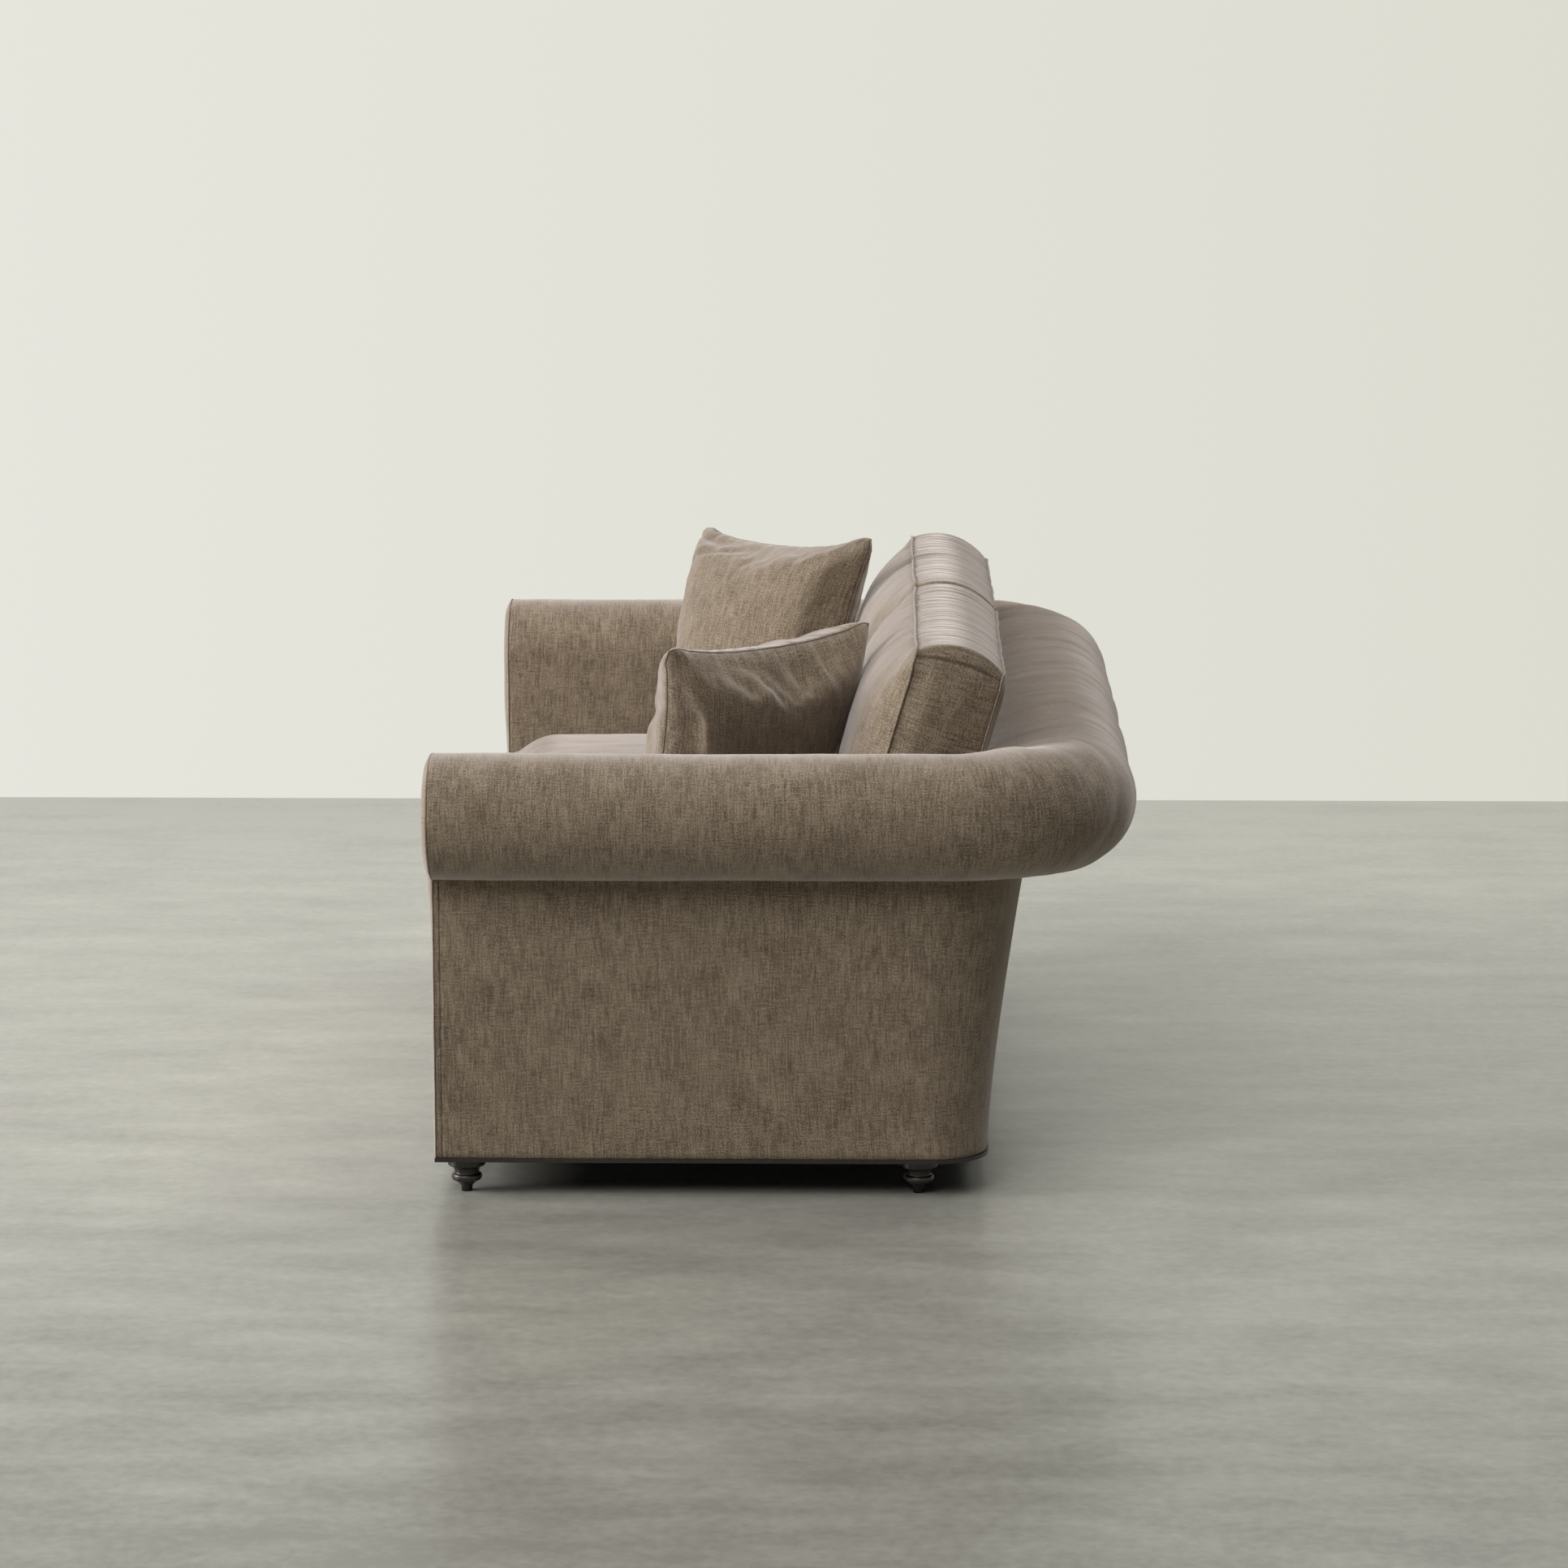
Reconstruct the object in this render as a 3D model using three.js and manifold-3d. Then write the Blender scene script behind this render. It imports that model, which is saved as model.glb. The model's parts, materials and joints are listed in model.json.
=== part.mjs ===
// A roll arm sofa for two: a timber frame on four short turned feet, webbing, padded arms and back under
// one round roll, outside panels, and loose seat cushions, back cushions and corner pillows.
// Millimetres. +Z is up, -Y is the front, +X is the sitter's left. The origin is on the floor at the centre.
import * as THREE from 'three';
import { mergeVertices } from 'three/addons/utils/BufferGeometryUtils.js';
import Module from 'manifold-3d';

const wasm = await Module();
wasm.setup();

// Overall sizes
const overallLength = 1830;
const overallDepth = 1060;

// Running gaps: between hard pieces that only meet, and round the loose soft ones
const meetGap = 0.3;
const softGap = 0.5;
const cutOverrun = 5;

// The round roll that tops both arms and the back
const roll = { radius: 94, topHeight: 675, cornerRadius: 185, domeDrop: 75, domeReach: 149.4 };

// Upholstery over the frame
const padding = { armThickness: 35, backThickness: 45, panelThickness: 10, boardCover: 12, panelTopGap: 0.8 };
const facing = { thickness: 9.5, roundEdge: 6 };
const backRake = THREE.MathUtils.degToRad(15.5);
const innerCornerRadius = 35;
const rearCorner = { radiusAtBase: 82, radiusAtTop: 150, undercut: 222, flarePower: 1.4 };
const splitMargin = 6;

// Frame timber
const timber = { thickness: 20, postWidth: 50 };
const seatRail = { height: 210, sideHeight: 140, crossHeight: 100, insidePanel: 10 };
const armRail = { width: 36, height: 80, aboveRollFoot: 28 };
const backRail = { width: 36, height: 60 };
const upright = { width: 45, thickness: 36, lap: 120 };
const block = { frontLength: 60, rearLength: 80, height: 60 };

// Plinth, feet and their bolts
const trim = { thickness: 6, proud: 1.5, width: 78 };
const foot = {
  height: 54,
  setIn: 43,
  rearInset: 104,
  flangeRadius: 28.5,
  flangeThickness: 14,
  coveHeight: 9,
  neckRadius: 18.5,
  ringRadius: 22.5,
  ringHeight: 14,
  toeHeight: 6,
  toeRadius: 8.5,
};
const bolt = { radius: 4, inFoot: 24, inBlock: 50 };
const dustCover = { thickness: 1.5, aboveTrimFoot: 1.5 };

// Webbing and deck
const webbing = { count: 7, width: 50, thickness: 2.5 };
const deck = { thickness: 15 };

// Loose cushions: outline, boxing, crowns and the cover's wall
const cover = { wall: 4, zipWidth: 6, zipLengthShare: 0.6 };
const seatCushion = {
  boxing: 143,
  frontSetBack: 8.5,
  sideGap: 1,
  cornerRadius: 30,
  drawIn: 4,
  crown: 30,
  underCrown: 3,
  boxingBulge: 3,
};
const backCushion = {
  height: 378,
  boxing: 136,
  sideGap: 2,
  cornerRadius: 30,
  drawIn: 4,
  crown: 55,
  underCrown: 9,
  boxingBulge: 8,
};
const pillow = {
  size: 405,
  drawIn: 18,
  cornerRadius: 14,
  crown: 74,
  edge: 3,
  rimInset: 10,
  besideArm: 255.5,
  beforeBack: 269,
  sink: 23.5,
  yaw: THREE.MathUtils.degToRad(46),
  lean: THREE.MathUtils.degToRad(20),
};

// Steps along curves, and rounds of a height that is found by trial
const steps = { face: 4, quarter: 5, underside: 3, corner: 6, panel: 5, scroll: 14, lathe: 28, arc: 5 };
const cushionSteps = { rings: 4, side: 5, corner: 2 };
const fillingSteps = { rings: 2, side: 3, corner: 2 };
const settlingRounds = 5;

const quarterTurn = Math.PI / 2;
const fullnessPower = 4;

// Places worked out from the sizes
const sideX = overallLength / 2 - roll.radius;
const armInnerX = sideX - roll.radius;
const armRearX = armInnerX + padding.armThickness;
const panelInnerX = sideX - padding.panelThickness;
const frontY = facing.thickness - overallDepth / 2;
const backRollY = overallDepth / 2 - roll.radius;
const backFootY = overallDepth / 2 - rearCorner.undercut;
const trimZ = foot.height;
const baseZ = trimZ + trim.thickness;
const railTopZ = baseZ + seatRail.height;
const webTopZ = railTopZ + webbing.thickness;
const deckZ = webTopZ + meetGap + deck.thickness;
const rollZ = roll.topHeight - roll.radius;
const domeZ = roll.topHeight - roll.domeDrop;
const insideBackY = backRollY - roll.domeReach - (domeZ - deckZ) * Math.tan(backRake);
const cornerCentreX = sideX - roll.cornerRadius;
const cornerCentreY = backRollY - roll.cornerRadius;
const splitX = cornerCentreX - splitMargin;
const splitY = insideBackY - innerCornerRadius - splitMargin;
const armRailZ = rollZ - roll.radius + armRail.aboveRollFoot;
const frontRailY = frontY + padding.panelThickness;
const boardRearY = frontY + timber.thickness;
const backPanelInnerY = backFootY - padding.panelThickness;
const backRailRearY = backPanelInnerY - seatRail.insidePanel;
const backRailFrontY = backRailRearY - timber.thickness;
const footX = sideX - foot.setIn;
const frontFootY = frontY + foot.setIn;
const rearFootY = backFootY - foot.rearInset;

const lerp = THREE.MathUtils.lerp;
const clamp = THREE.MathUtils.clamp;

// Materials: the cloth and the fillings in their own colours, the timber pale, the feet and plinth dark
const looks = {
  linen: { color: 0x8a7a6b, roughness: 0.95, metalness: 0 },
  darkWood: { color: 0x2a201b, roughness: 0.4, metalness: 0 },
  frameWood: { color: 0xb08d5e, roughness: 0.7, metalness: 0 },
  webbing: { color: 0x7d6a4d, roughness: 0.9, metalness: 0 },
  blackCloth: { color: 0x1d1c1b, roughness: 0.95, metalness: 0 },
  foam: { color: 0xd9cfa8, roughness: 0.95, metalness: 0 },
  steel: { color: 0x9a9a98, roughness: 0.4, metalness: 0.9 },
};

const sofa = new THREE.Group();

function addMesh(name, look, geometry, parent = sofa) {
  const mesh = new THREE.Mesh(geometry, new THREE.MeshStandardMaterial(looks[look]));
  mesh.name = name;
  parent.add(mesh);
  return mesh;
}

// Closed geometry from points and triangles, turned so that its faces point out
function closedGeometry(points, triangles) {
  let volume = 0;
  for (const [a, b, c] of triangles) {
    volume += points[a].dot(points[b].clone().cross(points[c]));
  }
  const index = triangles.flatMap(([a, b, c]) => (volume > 0 ? [a, b, c] : [a, c, b]));
  const geometry = new THREE.BufferGeometry().setFromPoints(points);
  geometry.setIndex(index);
  return geometry;
}

// The upright cap of a ring of points, as triangles that run the same way round as the ring
function capTriangles(ring, firstIndex) {
  const normal = new THREE.Vector3();
  ring.forEach((point, i) => normal.add(point.clone().cross(ring[(i + 1) % ring.length])));
  normal.normalize();
  const across = new THREE.Vector3(0, 0, 1).cross(normal).normalize();
  const upward = normal.clone().cross(across);
  const flat = ring.map((point) => [point.dot(across), point.dot(upward)]);
  return wasm.triangulate([flat]).map((corners) => [...corners].map((i) => i + firstIndex));
}

// A closed solid through rings that have as many points each, with a flat cap at both ends
function loft(rings) {
  const count = rings[0].length;
  const triangles = [];
  for (let r = 0; r < rings.length - 1; r += 1) {
    for (let i = 0; i < count; i += 1) {
      const here = r * count + i;
      const next = r * count + ((i + 1) % count);
      triangles.push([here, next, next + count], [here, next + count, here + count]);
    }
  }
  const lastRing = (rings.length - 1) * count;
  const endCap = capTriangles(rings.at(-1), lastRing);
  const startCap = capTriangles(rings[0], 0).map(([a, b, c]) => [a, c, b]);
  return closedGeometry(rings.flat(), [...triangles, ...startCap, ...endCap]);
}

// Prisms from an outline: of (y, z) pairs run along X, or of (x, z) pairs run along Y
function prismAlongX(outline, fromX, toX) {
  const ring = (x) => outline.map(([y, z]) => new THREE.Vector3(x, y, z));
  return loft([ring(fromX), ring(toX)]);
}

function prismAlongY(outline, fromY, toY) {
  const ring = (y) => outline.map(([x, z]) => new THREE.Vector3(x, y, z));
  return loft([ring(fromY), ring(toY)]);
}

// A box between two corners
function boxBetween([x0, y0, z0], [x1, y1, z1]) {
  const box = new THREE.BoxGeometry(x1 - x0, y1 - y0, z1 - z0);
  return box.translate((x0 + x1) / 2, (y0 + y1) / 2, (z0 + z1) / 2);
}

function uprightCylinder(radius, fromZ, toZ, x, y) {
  const cylinder = new THREE.CylinderGeometry(radius, radius, toZ - fromZ, steps.lathe);
  return cylinder.rotateX(quarterTurn).translate(x, y, (fromZ + toZ) / 2);
}

// The same shape on the other side of the sofa's middle
function mirrored(geometry) {
  const copy = geometry.clone().scale(-1, 1, 1);
  const index = copy.index.array;
  for (let i = 0; i < index.length; i += 3) {
    [index[i + 1], index[i + 2]] = [index[i + 2], index[i + 1]];
  }
  return copy;
}

// Booleans
function solidOf(geometry) {
  const bare = new THREE.BufferGeometry();
  bare.setAttribute('position', geometry.getAttribute('position').clone());
  if (geometry.index) bare.setIndex(geometry.index.clone());
  const merged = mergeVertices(bare);
  const mesh = new wasm.Mesh({
    numProp: 3,
    vertProperties: new Float32Array(merged.getAttribute('position').array),
    triVerts: new Uint32Array(merged.index.array),
  });
  return new wasm.Manifold(mesh);
}

function geometryOf(solid) {
  const mesh = solid.getMesh();
  const geometry = new THREE.BufferGeometry();
  geometry.setAttribute('position', new THREE.BufferAttribute(new Float32Array(mesh.vertProperties), 3));
  geometry.setIndex(new THREE.BufferAttribute(new Uint32Array(mesh.triVerts), 1));
  return geometry;
}

function cut(geometry, ...cutters) {
  return geometryOf(cutters.reduce((solid, cutter) => solid.subtract(solidOf(cutter)), solidOf(geometry)));
}

// Both sides of the sofa: the left is built, the right is its mirror image
const sides = [
  { name: 'left', place: (geometry) => geometry },
  { name: 'right', place: mirrored },
];

function addOnBothSides(name, look, geometry) {
  for (const side of sides) {
    addMesh(`${name}_${side.name}`, look, side.place(geometry));
  }
}

// The inside back's raked face at a height, and the outside back's flared one
function insideFaceY(z) {
  return insideBackY + (z - deckZ) * Math.tan(backRake);
}

function rearOfBackPadY(z) {
  return insideFaceY(z) + padding.backThickness / Math.cos(backRake);
}

const panelTopZ = armRailZ;
const backUndersideZ = panelTopZ + meetGap;
const undersideDropAngle = Math.acos((rollZ - backUndersideZ) / roll.radius);
const armUnderAngle = Math.asin((sideX - armRearX) / roll.radius);
const panelTopY = backRollY - roll.radius * Math.sin(undersideDropAngle);

function outsideHeightShare(z) {
  return clamp((z - baseZ) / (panelTopZ - baseZ), 0, 1);
}

function outsideFaceY(z) {
  return lerp(backFootY, panelTopY, outsideHeightShare(z) ** rearCorner.flarePower);
}

function outsideCornerRadius(z) {
  return lerp(rearCorner.radiusAtBase, rearCorner.radiusAtTop, outsideHeightShare(z));
}

// The underside of the roll above a place on the plan, round the rear corner too
function rollUnderside(x, y) {
  const dx = x - cornerCentreX;
  const dy = y - cornerCentreY;
  let offset = Math.abs(dy - roll.cornerRadius);
  if (dx > 0 && dy > 0) offset = Math.abs(Math.hypot(dx, dy) - roll.cornerRadius);
  else if (dx > 0) offset = Math.abs(dx - roll.cornerRadius);
  return rollZ - Math.sqrt(roll.radius ** 2 - offset ** 2);
}

// Stations round the padded section of arm and back. Each has its place on the arm (x and height), on
// the back (y and height) and the radius of the curve that joins the two round the rear corner.
function wrapStations() {
  const stations = [];
  const add = (armX, armZ, backY, backZ, radius) => stations.push({ armX, armZ, backY, backZ, radius });
  const innerRearRadius = innerCornerRadius + padding.armThickness;

  for (let i = 0; i < steps.face; i += 1) {
    const backZ = lerp(deckZ, domeZ, i / steps.face);
    add(armInnerX, lerp(deckZ, rollZ, i / steps.face), insideFaceY(backZ), backZ, innerCornerRadius);
  }
  for (let i = 0; i < steps.quarter; i += 1) {
    const angle = (i / steps.quarter) * quarterTurn;
    const run = Math.cos(angle);
    const rise = Math.sin(angle);
    const armX = sideX - roll.radius * run;
    const backY = backRollY - roll.domeReach * run;
    const backZ = domeZ + roll.domeDrop * rise;
    add(armX, rollZ + roll.radius * rise, backY, backZ, lerp(innerCornerRadius, roll.cornerRadius, 1 - run));
  }
  for (let i = 0; i <= 2 * steps.quarter; i += 1) {
    const angle = quarterTurn - (i / steps.quarter) * quarterTurn;
    const out = roll.radius * Math.cos(angle);
    const height = rollZ + roll.radius * Math.sin(angle);
    add(sideX + out, height, backRollY + out, height, roll.cornerRadius + out);
  }
  for (let i = 1; i <= steps.underside; i += 1) {
    const share = i / steps.underside;
    const armAngle = share * armUnderAngle;
    const backAngle = share * undersideDropAngle;
    const armX = sideX - roll.radius * Math.sin(armAngle);
    const armZ = rollZ - roll.radius * Math.cos(armAngle);
    const backY = backRollY - roll.radius * Math.sin(backAngle);
    const backZ = rollZ - roll.radius * Math.cos(backAngle);
    add(armX, armZ, backY, backZ, roll.cornerRadius - (sideX - armX));
  }
  const lowZ = (deckZ + backUndersideZ) / 2;
  const cornerAtRear = roll.cornerRadius - (sideX - armRearX);
  const topZ = lerp(rollZ - roll.radius, deckZ, 1 / steps.face);
  const topRadius = (innerRearRadius + cornerAtRear) / 2;
  add(armRearX, topZ, rearOfBackPadY(backUndersideZ), backUndersideZ, topRadius);
  add(armRearX, (deckZ + topZ) / 2, rearOfBackPadY(lowZ), lowZ, innerRearRadius);
  add(armRearX, deckZ, rearOfBackPadY(deckZ), deckZ, innerRearRadius);
  return stations;
}

// A point of the wrap at an angle round the rear corner: 0 on the arm's side, a right angle on the back's
function cornerPoint(x, y, radius, angle) {
  const centreX = x - radius;
  const centreY = y - radius;
  return [centreX + radius * Math.cos(angle), centreY + radius * Math.sin(angle)];
}

// The scroll outline of an arm's front, drawn in by an inset: a leg under a round head
function scrollOutline(inset) {
  const radius = roll.radius - inset;
  const legAngle = Math.asin(inset / radius);
  const shape = new THREE.Shape();
  shape.moveTo(armInnerX + inset, baseZ);
  shape.lineTo(armInnerX + inset, rollZ);
  shape.absarc(sideX, rollZ, radius, Math.PI, -quarterTurn - legAngle, true);
  shape.lineTo(sideX - inset, baseZ);
  shape.closePath();
  return shape;
}

// An outline drawn in X and Z, given thickness from one Y plane to another
function slabAlongY(shape, fromY, toY) {
  const options = { depth: toY - fromY, bevelEnabled: false, curveSegments: steps.scroll };
  const geometry = new THREE.ExtrudeGeometry(shape, options);
  return geometry.rotateX(quarterTurn).translate(0, toY, 0);
}

// Frame
function buildFrame() {
  const blockInnerX = armInnerX + padding.boardCover;
  const sideRailX = panelInnerX - timber.thickness;
  const sideRailTop = baseZ + seatRail.sideHeight;
  const sideRailRearY = outsideFaceY(sideRailTop) - outsideCornerRadius(sideRailTop);

  const frontRail = boxBetween(
    [-blockInnerX, frontRailY, baseZ],
    [blockInnerX, frontRailY + timber.thickness, railTopZ],
  );
  addMesh('front_seat_rail', 'frameWood', frontRail);

  const backRailX = sideX - rearCorner.radiusAtBase;
  const rearRail = boxBetween([-backRailX, backRailFrontY, baseZ], [backRailX, backRailRearY, railTopZ]);
  addMesh('back_seat_rail', 'frameWood', rearRail);

  const crossRail = boxBetween(
    [-timber.thickness / 2, frontRailY + timber.thickness, baseZ],
    [timber.thickness / 2, backRailFrontY, baseZ + seatRail.crossHeight],
  );
  addMesh('centre_cross_rail', 'frameWood', crossRail);

  const sideRail = boxBetween([sideRailX, boardRearY, baseZ], [panelInnerX, sideRailRearY, sideRailTop]);
  addOnBothSides('side_seat_rail', 'frameWood', boltedThrough(sideRail));

  const frontBlock = boxBetween(
    [blockInnerX, boardRearY, baseZ],
    [sideRailX, boardRearY + block.frontLength, baseZ + block.height],
  );
  addOnBothSides('front_corner_block', 'frameWood', boltedThrough(frontBlock));

  const rearBlock = boxBetween(
    [blockInnerX, backRailFrontY - block.rearLength, baseZ],
    [sideRailX, backRailFrontY, baseZ + block.height],
  );
  addOnBothSides('rear_corner_block', 'frameWood', boltedThrough(rearBlock));

  const board = slabAlongY(scrollOutline(padding.boardCover), frontY, boardRearY);
  addOnBothSides('arm_front_board', 'frameWood', geometryOf(solidOf(board)));

  const post = boxBetween(
    [sideRailX, splitY - meetGap - timber.postWidth, sideRailTop],
    [panelInnerX, splitY - meetGap, armRailZ],
  );
  addOnBothSides('arm_back_post', 'frameWood', post);

  addOnBothSides('arm_top_rail', 'frameWood', armRailBox(0));
  addMesh('back_top_rail', 'frameWood', backRailBox(0));

  // Each upright is notched over the back rail, between the last two webs of its side
  const frontSlope = (z) => rearOfBackPadY(z) + meetGap;
  const lapFootZ = railTopZ - upright.lap;
  const uprightOutline = [
    [frontSlope(lapFootZ), lapFootZ],
    [backRailFrontY, lapFootZ],
    [backRailFrontY, railTopZ],
    [frontSlope(railTopZ) + upright.thickness, railTopZ],
    [frontSlope(panelTopZ) + upright.thickness, panelTopZ],
    [frontSlope(panelTopZ), panelTopZ],
  ];
  const uprightX = (webX(webbing.count - 1) + webX(webbing.count - 2)) / 2;
  const halfWidth = upright.width / 2;
  const uprightBar = prismAlongX(uprightOutline, uprightX - halfWidth, uprightX + halfWidth);
  addOnBothSides('back_upright', 'frameWood', uprightBar);
}

function webX(index) {
  const pitch = (2 * armInnerX) / webbing.count;
  return (index - (webbing.count - 1) / 2) * pitch;
}

// The rails inside the rolls, with a clearance for the pockets that take them
function armRailBox(clearance) {
  const midX = panelInnerX - armRail.width / 2;
  return boxBetween(
    [midX - armRail.width / 2 - clearance, boardRearY - clearance, armRailZ - clearance],
    [midX + armRail.width / 2 + clearance, splitY + clearance, armRailZ + armRail.height + clearance],
  );
}

function backRailBox(clearance) {
  const railY = rearOfBackPadY(panelTopZ) + meetGap;
  return boxBetween(
    [-splitX - clearance, railY - clearance, panelTopZ - clearance],
    [splitX + clearance, railY + backRail.width + clearance, panelTopZ + backRail.height + clearance],
  );
}

// The holes for the foot bolts
function boltedThrough(geometry) {
  const top = baseZ + bolt.inBlock + meetGap;
  const hole = (y) => uprightCylinder(bolt.radius + meetGap, trimZ - cutOverrun, top, footX, y);
  return cut(geometry, hole(frontFootY), hole(rearFootY));
}

// Webbing and deck
function buildDeck() {
  for (let i = 0; i < webbing.count; i += 1) {
    const length = backRailRearY - frontRailY;
    const strap = new THREE.BoxGeometry(webbing.width, length, webbing.thickness);
    const mesh = addMesh(`seat_web_${i + 1}`, 'webbing', strap);
    mesh.position.set(webX(i), frontRailY + length / 2, railTopZ + webbing.thickness / 2);
  }
  const platform = boxBetween(
    [softGap - armInnerX, frontRailY + meetGap, webTopZ + meetGap],
    [armInnerX - softGap, insideBackY - meetGap, deckZ],
  );
  addMesh('seat_platform', 'linen', platform);
}

// Plinth trim, dust cover, feet and bolts
function plinthOutline(offset) {
  const radius = rearCorner.radiusAtBase + offset;
  const halfLength = sideX + offset;
  const front = frontY - offset;
  const rear = backFootY + offset;
  const shape = new THREE.Shape();
  shape.moveTo(-halfLength, front);
  shape.lineTo(halfLength, front);
  shape.lineTo(halfLength, rear - radius);
  shape.absarc(halfLength - radius, rear - radius, radius, 0, quarterTurn, false);
  shape.lineTo(radius - halfLength, rear);
  shape.absarc(radius - halfLength, rear - radius, radius, quarterTurn, Math.PI, false);
  shape.closePath();
  return shape;
}

function dustOpening(clearance) {
  const inner = trim.width + clearance;
  return [
    [inner - sideX, frontY + inner],
    [sideX - inner, backFootY - inner],
  ];
}

function buildPlinth() {
  const extrude = { depth: trim.thickness, bevelEnabled: false, curveSegments: steps.scroll };
  const board = new THREE.ExtrudeGeometry(plinthOutline(trim.proud), extrude).translate(0, 0, trimZ);
  const [openFrom, openTo] = dustOpening(0);
  const opening = boxBetween([...openFrom, trimZ - cutOverrun], [...openTo, baseZ + cutOverrun]);
  const holes = [];
  for (const x of [footX, -footX]) {
    for (const y of [frontFootY, rearFootY]) {
      const hole = uprightCylinder(bolt.radius + meetGap, trimZ - cutOverrun, baseZ + cutOverrun, x, y);
      holes.push(hole);
    }
  }
  addMesh('base_trim', 'darkWood', cut(board, opening, ...holes));

  const [dustFrom, dustTo] = dustOpening(meetGap);
  const dustZ = trimZ + dustCover.aboveTrimFoot;
  const sheet = boxBetween([...dustFrom, dustZ], [...dustTo, dustZ + dustCover.thickness]);
  addMesh('dust_cover', 'blackCloth', sheet);
}

// The turned profile of a foot: a straight toe, a hollow flare up to a ring, a neck and a cove to the flange
function footProfile() {
  const points = [new THREE.Vector2(0, 0), new THREE.Vector2(foot.toeRadius, 0)];
  const coveTop = foot.height - foot.flangeThickness;
  const neckZ = coveTop - foot.coveHeight;
  const ringMidZ = neckZ - foot.ringHeight / 2;
  const ringFootZ = neckZ - foot.ringHeight;
  const hollow = (fromRadius, toRadius, fromZ, toZ, firstStep) => {
    for (let i = firstStep; i <= steps.arc; i += 1) {
      const angle = (i / steps.arc) * quarterTurn;
      const radius = lerp(fromRadius, toRadius, 1 - Math.cos(angle));
      points.push(new THREE.Vector2(radius, lerp(fromZ, toZ, Math.sin(angle))));
    }
  };
  hollow(foot.toeRadius, foot.neckRadius, foot.toeHeight, ringFootZ, 0);
  for (let i = 1; i < steps.arc; i += 1) {
    const angle = (i / steps.arc) * Math.PI - quarterTurn;
    const out = (foot.ringRadius - foot.neckRadius) * Math.cos(angle);
    points.push(new THREE.Vector2(foot.neckRadius + out, ringMidZ + (foot.ringHeight / 2) * Math.sin(angle)));
  }
  hollow(foot.neckRadius, foot.flangeRadius, neckZ, coveTop, 0);
  points.push(new THREE.Vector2(foot.flangeRadius, foot.height), new THREE.Vector2(0, foot.height));
  return points;
}

function buildFeet() {
  const turned = new THREE.LatheGeometry(footProfile(), steps.lathe).rotateX(quarterTurn);
  const pocketFoot = foot.height - bolt.inFoot - meetGap;
  const pocket = uprightCylinder(bolt.radius + meetGap, pocketFoot, foot.height + cutOverrun, 0, 0);
  const footGeometry = cut(turned, pocket);
  const boltGeometry = uprightCylinder(bolt.radius, foot.height - bolt.inFoot, baseZ + bolt.inBlock, 0, 0);
  for (const [sideName, x] of [['left', footX], ['right', -footX]]) {
    for (const [endName, y] of [['front', frontFootY], ['rear', rearFootY]]) {
      addMesh(`foot_${endName}_${sideName}`, 'darkWood', footGeometry).position.set(x, y, 0);
      addMesh(`foot_bolt_${endName}_${sideName}`, 'steel', boltGeometry).position.set(x, y, 0);
    }
  }
}

// Padded arms, corners and back under the roll
function buildPadding() {
  const stations = wrapStations();
  const armSection = stations.map(({ armX, armZ }) => [armX, armZ]);
  const pocketShape = scrollOutline(padding.boardCover - meetGap);
  const boardPocket = slabAlongY(pocketShape, frontY - cutOverrun, boardRearY + meetGap);
  const postPocket = boxBetween(
    [panelInnerX - timber.thickness - meetGap, splitY - timber.postWidth - 2 * meetGap, deckZ],
    [panelInnerX + meetGap, splitY + cutOverrun, armRailZ + cutOverrun],
  );
  const armPad = cut(prismAlongY(armSection, frontY, splitY), boardPocket, armRailBox(meetGap), postPocket);
  addOnBothSides('arm_pad', 'linen', armPad);

  const backSection = stations.map(({ backY, backZ }) => [backY, backZ]);
  const backPad = cut(prismAlongX(backSection, -splitX, splitX), backRailBox(meetGap));
  addMesh('back_pad', 'linen', backPad);

  const rings = [stations.map(({ armX, armZ }) => new THREE.Vector3(armX, splitY, armZ))];
  for (let i = 0; i <= steps.corner; i += 1) {
    const share = i / steps.corner;
    const ring = stations.map(({ armX, armZ, backY, backZ, radius }) => {
      const [x, y] = cornerPoint(armX, backY, radius, share * quarterTurn);
      return new THREE.Vector3(x, y, lerp(armZ, backZ, share));
    });
    rings.push(ring);
  }
  rings.push(stations.map(({ backY, backZ }) => new THREE.Vector3(splitX, backY, backZ)));
  addOnBothSides('back_corner_pad', 'linen', loft(rings));
}

// Outside panels, arm facings and the border below the seat
function panelPoint(share, angle, thickness) {
  let z = panelTopZ;
  for (let i = 0; i < settlingRounds; i += 1) {
    const [x, y] = cornerPoint(sideX, outsideFaceY(z), outsideCornerRadius(z), angle);
    z = Math.min(rollUnderside(x, y) - padding.panelTopGap, panelTopZ);
  }
  const height = lerp(baseZ, z, share);
  const radius = outsideCornerRadius(height);
  const faceY = outsideFaceY(height);
  const [x, y] = cornerPoint(sideX, faceY, radius, angle);
  const inward = thickness / radius;
  const point = new THREE.Vector3(x, y, height);
  point.x = lerp(point.x, sideX - radius, inward);
  point.y = lerp(point.y, faceY - radius, inward);
  return point;
}

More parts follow.
